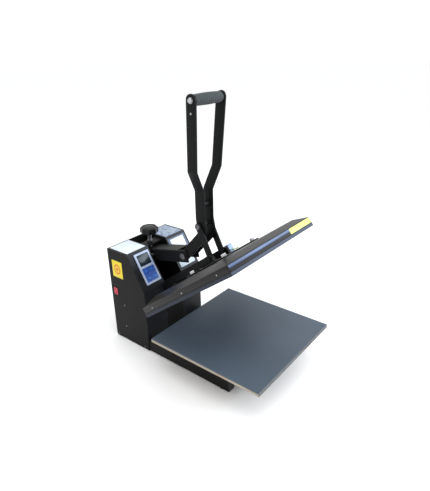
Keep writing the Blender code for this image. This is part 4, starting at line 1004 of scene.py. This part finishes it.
@dataclass
class HeatedPlaten:
    """The heater, its pressed cover, and what is bolted to it."""

    press: Press
    side: float = 0.018
    rise: float = 0.015
    bevel: float = 0.030
    fold: float = 0.0035
    corner: float = 0.004
    sheet: float = 0.0012
    sticker: Sequence[float] = (0.112, 0.0155, 0.0003)
    sticker_inset: float = 0.006
    bolt: float = 0.013
    bolt_height: float = 0.0066
    bolt_inset: float = 0.013
    washer: Sequence[float] = (0.0085, 0.0012)
    side_screw: Sequence[float] = (0.0028, 0.0011)
    side_screw_inset: float = 0.045
    side_screw_sink: float = 0.0009
    lid: float = 0.004
    lid_lip: float = 0.0012
    wire: float = 0.0016
    wire_bend: float = 0.004
    wire_run: Sequence[Sequence[float]] = (
        (0.000, 0.000, 0.000), (-0.006, -0.004, 0.004), (-0.008, -0.022, 0.000), (-0.001, -0.032, -0.0035),
        (0.012, -0.034, -0.0040))

    def dress(self) -> None:
        """Gives the frame's nodes their finishes."""
        self.press.dress("heater", "heating_plate")
        self.press.dress("fibre", "insulation")
        self.press.dress("arms", "mount_plate", "arm_bar_left", "arm_bar_right")

    def _cover(self) -> Surface:
        """Returns the cover: rounded rectangles that step in and up along a filleted profile.

        The profile climbs the side, turns into the bevel and turns again into the flat top.
        """
        low, high = self.press.box_in("platen_cover", self.press.arm_axes())
        top = (self.bevel * 3, high[2] - low[2])
        corners = ((0, 0), (0, self.side), (self.bevel, self.side + self.rise), top)
        profile = arc_path(corners, self.fold)
        half = (high - low) / 2
        inset, height = profile[:, 0], profile[:, 1]
        radius = self.corner + 0.25 * np.minimum(inset, self.bevel)
        rings = rounded_rings(half[0] - inset, half[1] - inset, radius, low[2] + height)
        rings[..., :2] += (low + high)[:2] / 2
        count = rings.shape[1]
        faces = [grid_faces(len(rings), count), (len(rings) - 1) * count + np.arange(count)[None]]
        return Surface(rings.reshape(-1, 3), faces).moved(self.press.arm_axes())

    def _fasteners(self) -> Surface:
        """Returns the hexagon bolts at the mount plate's corners and the cover's side screws."""
        low, high = self.press.box_in("mount_plate", self.press.arm_axes())
        nut = hexagon(self.bolt, self.bolt_height).shifted(0, 0, self.washer[1])
        head = Surface.joined([disc(*self.washer), nut])
        inset = self.bolt_inset
        made = [head.shifted(x, y, high[2]) for x in (low[0] + inset, high[0] - inset)
                for y in (low[1] + inset, high[1] - inset)]
        low, high = self.press.box_in("platen_cover", self.press.arm_axes())
        small, sink, z = screw_head(*self.side_screw), self.side_screw_sink, low[2] + self.side * 0.45
        for y in np.linspace(low[1] + self.side_screw_inset, high[1] - self.side_screw_inset, 3):
            made.append(small.moved(facing((low[0] + sink, y, z), "-X")))
            made.append(small.moved(facing((high[0] - sink, y, z), "+X")))
        return Surface.joined(made).moved(self.press.arm_axes())

    def _terminal_box(self) -> tuple[Surface, Surface]:
        """Returns the box with its lipped lid, and the earth wire that leaves its foot."""
        axes = self.press.arm_axes()
        low, high = self.press.box_in("terminal_box", axes)
        width, depth, height = high - low
        x, y, z = (low + high) / 2
        body = slab((width - self.lid_lip, depth - self.lid_lip, height - self.lid / 2), 0.0015, 0.0008)
        top = slab((width, depth, self.lid), 0.0018, 0.0010)
        body, top = body.shifted(x, y, z - self.lid / 4), top.shifted(x, y, high[2] - self.lid / 2)
        start = np.array([low[0] - 0.0004, y - 0.008, low[2] + 0.006])
        path = arc_path(start + np.array(self.wire_run), self.wire_bend, 6)
        return Surface.joined([body, top]).moved(axes), tube(path, self.wire, (0.1, 0.2, 1)).moved(axes)

    def build(self) -> None:
        """Makes the cover, bolts, terminal box, wire and sticker."""
        press = self.press
        press.piece("pressed_cover", self._cover(), "cover", ["platen_cover"], walled=self.sheet)
        press.piece("platen_fasteners", self._fasteners(), "steel", body="arm", slot="bare_steel")
        box, wire = self._terminal_box()
        press.piece("terminal_case", box, "zinc", ["terminal_box"])
        press.piece("earth_wire", wire, "earth_wire", body="arm", slot="panel_bezel")
        low, high = press.box_in("platen_cover", press.arm_axes())
        width, _, thickness = self.sticker
        surface = slab(self.sticker, 0.002, thickness / 3, 2)
        middle = (high[0] - width / 2 - self.sticker_inset, low[1] - 0.0002, low[2] + self.side * 0.48)
        surface = surface.moved(press.arm_axes() @ facing(middle, "-Y"))
        press.piece("front_sticker", surface, "front_sticker", body="arm", slot="panel_bezel")


@dataclass
class Linkage:
    """Lever bars, grip, links, and the pins and shafts of the toggle."""

    press: Press
    bar_width: float = 0.032
    bar_thickness: float = 0.006
    bar_edge: float = 0.0011
    link_width: float = 0.021
    link_thickness: float = 0.006
    link_bolt: float = 0.0085
    end_play: float = 0.0008
    grip_crown: float = 0.0018
    grip_ribs: int = 13
    side_bend: float = 0.030
    front_bend: float = 0.012
    grip_at: Sequence[float] = (-0.086, 0.4615)
    bend_at: Sequence[float] = (-0.074, 0.2765)
    pinch_at: Sequence[float] = (-0.068, 0.2165)
    run_end_at: Sequence[float] = (-0.068, 0.1325)
    knee_at: Sequence[float] = (-0.077, 0.0875)
    pinch_x: float = 0.019
    bend_x: float = 0.052
    top_x: float = 0.060
    pins: Sequence[tuple[str, str, float, float, str]] = (  # piece, node, radius, across flats, finish
        ("grip_through_bolt", "grip_bolt", 0.005, 0.0125, "steel"),
        ("lever_shaft_pin", "lever_shaft", 0.008, 0.018, "dark_steel"),
        ("link_shaft_pin", "link_shaft", 0.006, 0.0150, "dark_steel"),
    )
    pin_head: float = 0.0040
    pin_washer: float = 0.0010
    hub_bore: float = 0.0084
    grip_foot: float = 0.0055
    grip_rounding: float = 0.004
    grip_dip: float = 0.0007
    grip_screw: Sequence[float] = (0.0030, 0.0013)
    grip_screw_at: Sequence[float] = (0.002, -0.032)
    spring_radius: float = 0.0192
    spring_wire: float = 0.0015
    spring_half: float = 0.024
    spring_turns: int = 7
    spring_tails: Sequence[float] = (0.012, 0.020)

    def dress(self) -> None:
        """Gives the frame's nodes their finishes."""
        self.press.dress("arms", "yoke")

    def _from_shaft(self, offset: Sequence[float]) -> Array:
        """Returns a (y, z) point given from the lever's shaft."""
        shaft = self.press.joint_place("lever_hinge")
        return np.array([shaft.y + offset[0], shaft.z + offset[1]])

    def _lever_bar(self, sign: int) -> Surface:
        """Returns one bar of the lever, carried along its path from the side and its path from the front."""
        shaft = self._from_shaft((0, 0))
        grip, bend, pinch, run_end, knee = (self._from_shaft(at) for at in (
            self.grip_at, self.bend_at, self.pinch_at, self.run_end_at, self.knee_at))
        side = arc_path([grip, bend, pinch, run_end, knee, shaft], self.side_bend, 8)
        spread = (self.top_x - self.bend_x) / (grip[1] - bend[1])
        front = arc_path([
            (shaft[1] - self.bar_width, self.pinch_x), (pinch[1], self.pinch_x), (bend[1], self.bend_x),
            (grip[1] + self.bar_width, self.top_x + spread * self.bar_width),
        ], self.front_bend, 6)
        front[:, 1] *= sign
        dense = _resampled(side, 0.003)
        return flat_bar(dense, self.bar_width / 2, self.bar_thickness, front, self.bar_edge)

    def _grip(self) -> Surface:
        """Returns the foam grip: a barrel whose radius dips at each of its moulded rings.

        The radius is the crown's parabola less a narrow dip, the twentieth power of a cosine, at each ring.
        """
        axes, half, reach = lying("handle_grip")
        share = np.linspace(-1, 1, 240)
        dip = self.grip_dip * np.cos(share * self.grip_ribs * pi / 2) ** 20 * (np.abs(share) < 0.86)
        ends = np.clip((1 - np.abs(share)) * half / self.grip_rounding, 0, 1)
        rounded = self.grip_rounding * (1 - np.sqrt(1 - (1 - ends) ** 2))
        radius = reach - self.grip_crown * share**2 - dip - rounded
        profile = np.stack([radius, share * half], -1)
        return turned(np.vstack([[self.grip_foot, -half], profile, [self.grip_foot, half]]), 40).moved(axes)

    def _pin(self, node: str, radius: float, across: float) -> Surface:
        """Returns a pin along X with a washer and a hexagon head at each end, inside its node's box."""
        axes, half, _ = lying(node)
        grip, washer = half - self.pin_head, self.pin_washer
        shank = disc(radius, 2 * grip, 24).shifted(0, 0, -grip)
        head = hexagon(across, self.pin_head - washer).shifted(0, 0, washer)
        top = Surface.joined([disc(across * 0.62, washer), head]).shifted(0, 0, grip)
        return Surface.joined([shank, top, top.moved(Matrix.Rotation(pi, 4, "Y"))]).moved(axes)

    def _link(self, side: str, sign: int) -> Surface:
        """Returns a link plate with its bolt, whose head is on the inner face."""
        upper = self.press.joint_place("link_hinge")
        low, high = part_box(f"link_{side}")
        outer, inner = max(abs(low.x), abs(high.x)), min(abs(low.x), abs(high.x))
        half = self.link_thickness / 2
        x = outer - self.end_play - half
        radius = max(self.link_width / 2, self.link_bolt)
        lower = Vector((0, low.y + radius, low.z + radius))
        path = _resampled(np.array([upper.yz, lower.yz]), 0.004)
        across = np.array([[low.z - self.link_width, sign * x], [high.z + self.link_width, sign * x]])
        plate = flat_bar(path, self.link_width / 2, self.link_thickness, across, self.bar_edge)
        inwards, outwards = ("-X", "+X") if sign > 0 else ("+X", "-X")
        head = hexagon(self.link_bolt * 1.7, x - half - inner)
        end = disc(self.link_bolt, self.end_play)
        return Surface.joined([
            plate,
            head.moved(facing((sign * (x - half), lower.y, lower.z), inwards)),
            end.moved(facing((sign * (x + half), lower.y, lower.z), outwards)),
        ])

    def _grip_screws(self) -> Surface:
        """Returns the two screws under the grip, their heads let into the bars' outer faces."""
        y, z = self._from_shaft(self.grip_at) + self.grip_screw_at
        face = self.top_x + self.bar_thickness / 2 - 0.0016
        screw = screw_head(*self.grip_screw)
        ends = facing((face, y, z), "+X"), facing((-face, y, z), "-X")
        return Surface.joined([screw.moved(end) for end in ends])

    def build(self) -> None:
        """Makes the lever, links, grip and pins."""
        press = self.press
        for side, sign in (("left", -1), ("right", 1)):
            press.piece(f"lever_arm_{side}", self._lever_bar(sign), "arms", [f"lever_bar_{side}"])
            press.piece(f"link_plate_{side}", self._link(side, sign), "arms", [f"link_{side}"])
        grip = press.piece("foam_grip", self._grip(), "foam", ["handle_grip"])
        for name, node, radius, across, finish in self.pins:
            press.piece(name, self._pin(node, radius, across), finish, [node])
        axes, half, radius = lying("lever_spacer")
        press.piece("pinch_spacer", bush(radius, half, 0.0006).moved(axes), "arms", ["lever_spacer"])
        axes, half, radius = lying("arm_hub")
        hub = bush(radius, half, 0.001, self.hub_bore)
        press.piece("hub_tube", hub.moved(axes), "steel", ["arm_hub"])
        coil = spring_coil(self.spring_radius, self.spring_wire, self.spring_half, self.spring_turns,
                           self.spring_tails)
        coil = coil.shifted(*press.joint_place("arm_hinge"))
        press.piece("lift_spring", coil, "dark_steel", ["return_spring"])
        press.piece("grip_screws", self._grip_screws(), "steel", body="lever", slot="bare_steel")


def _resampled(path: Array, step: float) -> Array:
    """Returns a path's points a step apart along it, ends kept."""
    along = np.concatenate([[0], np.cumsum(np.linalg.norm(np.diff(path, axis=0), axis=1))])
    keep = np.concatenate([[True], np.diff(along) > 1e-7])
    along, path = along[keep], path[keep]
    places = np.linspace(0, along[-1], max(int(along[-1] / step), 2) + 1)
    return np.stack([np.interp(places, along, path[:, axis]) for axis in range(path.shape[1])], -1)


@dataclass
class PressureScrew:
    """The lobed knob and the threaded rod that it turns."""

    press: Press
    lobes: int = 8
    flute: float = 0.0032
    rounding: float = 0.006
    groove: float = 0.0014
    pitch: float = 0.002
    thread: float = 0.0009
    rod: float = 0.0062
    nut: Sequence[float] = (0.0165, 0.006, 0.0008)
    nut_gap: float = 0.0004

    def build(self) -> None:
        """Makes the knob, its cap's rim and the threaded rod.

        The knob's radius at a level is the profile's, less the flute times half of one minus the cosine
        of the turn in lobes; the flutes fade out over the domed top.
        """
        low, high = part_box("pressure_knob")
        reach, height = (high.x - low.x) / 2, high.z - low.z
        dome = np.linspace(0, pi / 2, 8)
        rim = self.rounding
        groove = height - self.groove
        radius = np.concatenate([[0.35, 0.93, 1.0, 1.0], 1 - rim / reach * (1 - np.cos(dome)),
                                 [0.66, 0.64, 0.56, 0.54, 0.5, 0.0001]])
        level = np.concatenate([[0, 0, 0.002, height * 0.6], height - rim + rim * np.sin(dome),
                                [height, groove, groove, height - 0.0004, height, height]])
        fluted = np.concatenate([[0.0, 0.8, 1.0, 1.0], np.cos(dome) ** 0.5, np.zeros(6)])
        turn = np.arange(96) * 2 * pi / 96
        cut = self.flute * fluted[:, None] * (1 - np.cos(self.lobes * turn)) / 2
        ring = radius[:, None] * reach - cut
        rings = np.stack([ring * np.cos(turn), ring * np.sin(turn), level[:, None] + 0 * turn], -1)
        x, y = (low.x + high.x) / 2, (low.y + high.y) / 2
        self.press.piece("lobed_knob", lofted(rings).shifted(x, y, low.z), "knob", ["pressure_knob"])
        low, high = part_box("pressure_screw")
        rod = threaded_rod(self.rod, self.thread, self.pitch, low.z, high.z)
        nut = hexagon(*self.nut).shifted(0, 0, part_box("screw_bridge")[1].z + self.nut_gap)
        screw = Surface.joined([rod, nut]).shifted(x, y, 0)
        self.press.piece("threaded_rod", screw, "dark_steel", ["pressure_screw"])


@dataclass(frozen=True)
class Softbox:
    """A square light that looks at a point."""

    name: str
    at: Sequence[float]
    target: Sequence[float]
    size: float
    power: float
    colour: Colour


@dataclass
class Studio:
    """A pale floor, soft lights and the camera."""

    floor_size: float = 60.0
    sky: Sequence[float] = (0.99, 0.995, 1.0, 1.0)
    sky_strength: float = 1.06
    softboxes: Sequence[Softbox] = (
        Softbox("front_right", (2.3, -2.0, 1.5), (0.0, -0.1, 0.3), 1.4, 60.0, (0.80, 0.90, 1.0)),
        Softbox("overhead", (-0.3, -0.5, 2.6), (0.0, 0.0, 0.2), 2.0, 30.0, (1.0, 1.0, 1.0)),
    )
    camera_at: Sequence[float] = (-0.91874, -0.76993, 0.90037)
    azimuth: float = 51.037
    elevation: float = -23.885
    roll: float = -1.118
    lens: float = 32.633
    sensor: float = 36.0

    def _light(self, box: Softbox) -> None:
        """Adds a softbox's light."""
        light = bpy.data.lights.new(box.name, "AREA")
        light.shape, light.size, light.energy, light.color = "SQUARE", box.size, box.power, box.colour
        lamp = bpy.data.objects.new(box.name, light)
        bpy.context.scene.collection.objects.link(lamp)
        lamp.location = box.at
        lamp.rotation_euler = (Vector(box.at) - Vector(box.target)).to_track_quat("Z", "Y").to_euler()

    def _floor(self) -> None:
        """Lays the floor."""
        half = self.floor_size / 2
        mesh = bpy.data.meshes.new("floor")
        corners = [(-half, -half, 0), (half, -half, 0), (half, half, 0), (-half, half, 0)]
        mesh.from_pydata(corners, [], [(0, 1, 2, 3)])
        sheet = Sheet("pale_floor")
        mesh.materials.append(sheet.set(Base_Color=(0.95, 0.95, 0.95), Roughness=0.9, Specular_IOR_Level=0.1))
        floor = bpy.data.objects.new("floor", mesh)
        bpy.context.scene.collection.objects.link(floor)

    def build(self) -> None:
        """Makes the floor, the sky, the lights and the camera."""
        scene = bpy.context.scene
        scene.view_settings.view_transform = "Standard"
        world = bpy.data.worlds.new("studio")
        world.use_nodes = True
        background = world.node_tree.nodes["Background"]
        background.inputs[0].default_value = self.sky
        background.inputs[1].default_value = self.sky_strength
        scene.world = world
        self._floor()
        for box in self.softboxes:
            self._light(box)
        turn, climb = radians(self.azimuth), radians(self.elevation)
        look = Vector((sin(turn) * cos(climb), cos(turn) * cos(climb), sin(climb)))
        right = look.cross(Vector((0, 0, 1))).normalized()
        up = right.cross(look)
        upright = Matrix((right, up, -look)).transposed().to_4x4()
        data = bpy.data.cameras.new("camera")
        data.lens, data.sensor_width, data.sensor_fit = self.lens, self.sensor, "AUTO"
        data.clip_start, data.clip_end = 0.01, 200.0
        camera = bpy.data.objects.new("camera", data)
        scene.collection.objects.link(camera)
        camera.matrix_world = (
            Matrix.Translation(self.camera_at) @ upright @ Matrix.Rotation(radians(self.roll), 4, "Z")
        )
        scene.camera = camera


def main() -> None:
    """Loads the frame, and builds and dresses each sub-assembly."""
    logging.basicConfig(level=logging.INFO, format="%(message)s")
    for obj in list(bpy.data.objects):
        bpy.data.objects.remove(obj, do_unlink=True)
    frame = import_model()
    swing = Matrix.Rotation(-radians(frame["joints"][0]["range_deg"][1]), 3, "X")
    down, front = swing @ Vector((0, 0, -1)), swing @ Vector((0, -1, 0))
    plain = Finishes()
    # The cover's faces turned to front get the enamel's painted reflection colour.
    heater, cover = replace(plain.heater, down=down), replace(plain.cover, front=front)
    press = Press(frame, replace(plain, heater=heater, cover=cover))
    for part in (Base(press), Casing(press), ControlPanel(press), HeatedPlaten(press), Linkage(press)):
        part.dress()
        part.build()
        LOG.info("built %s", type(part).__name__)
    PressureScrew(press).build()
    Studio().build()


if __name__ == "__main__":
    main()
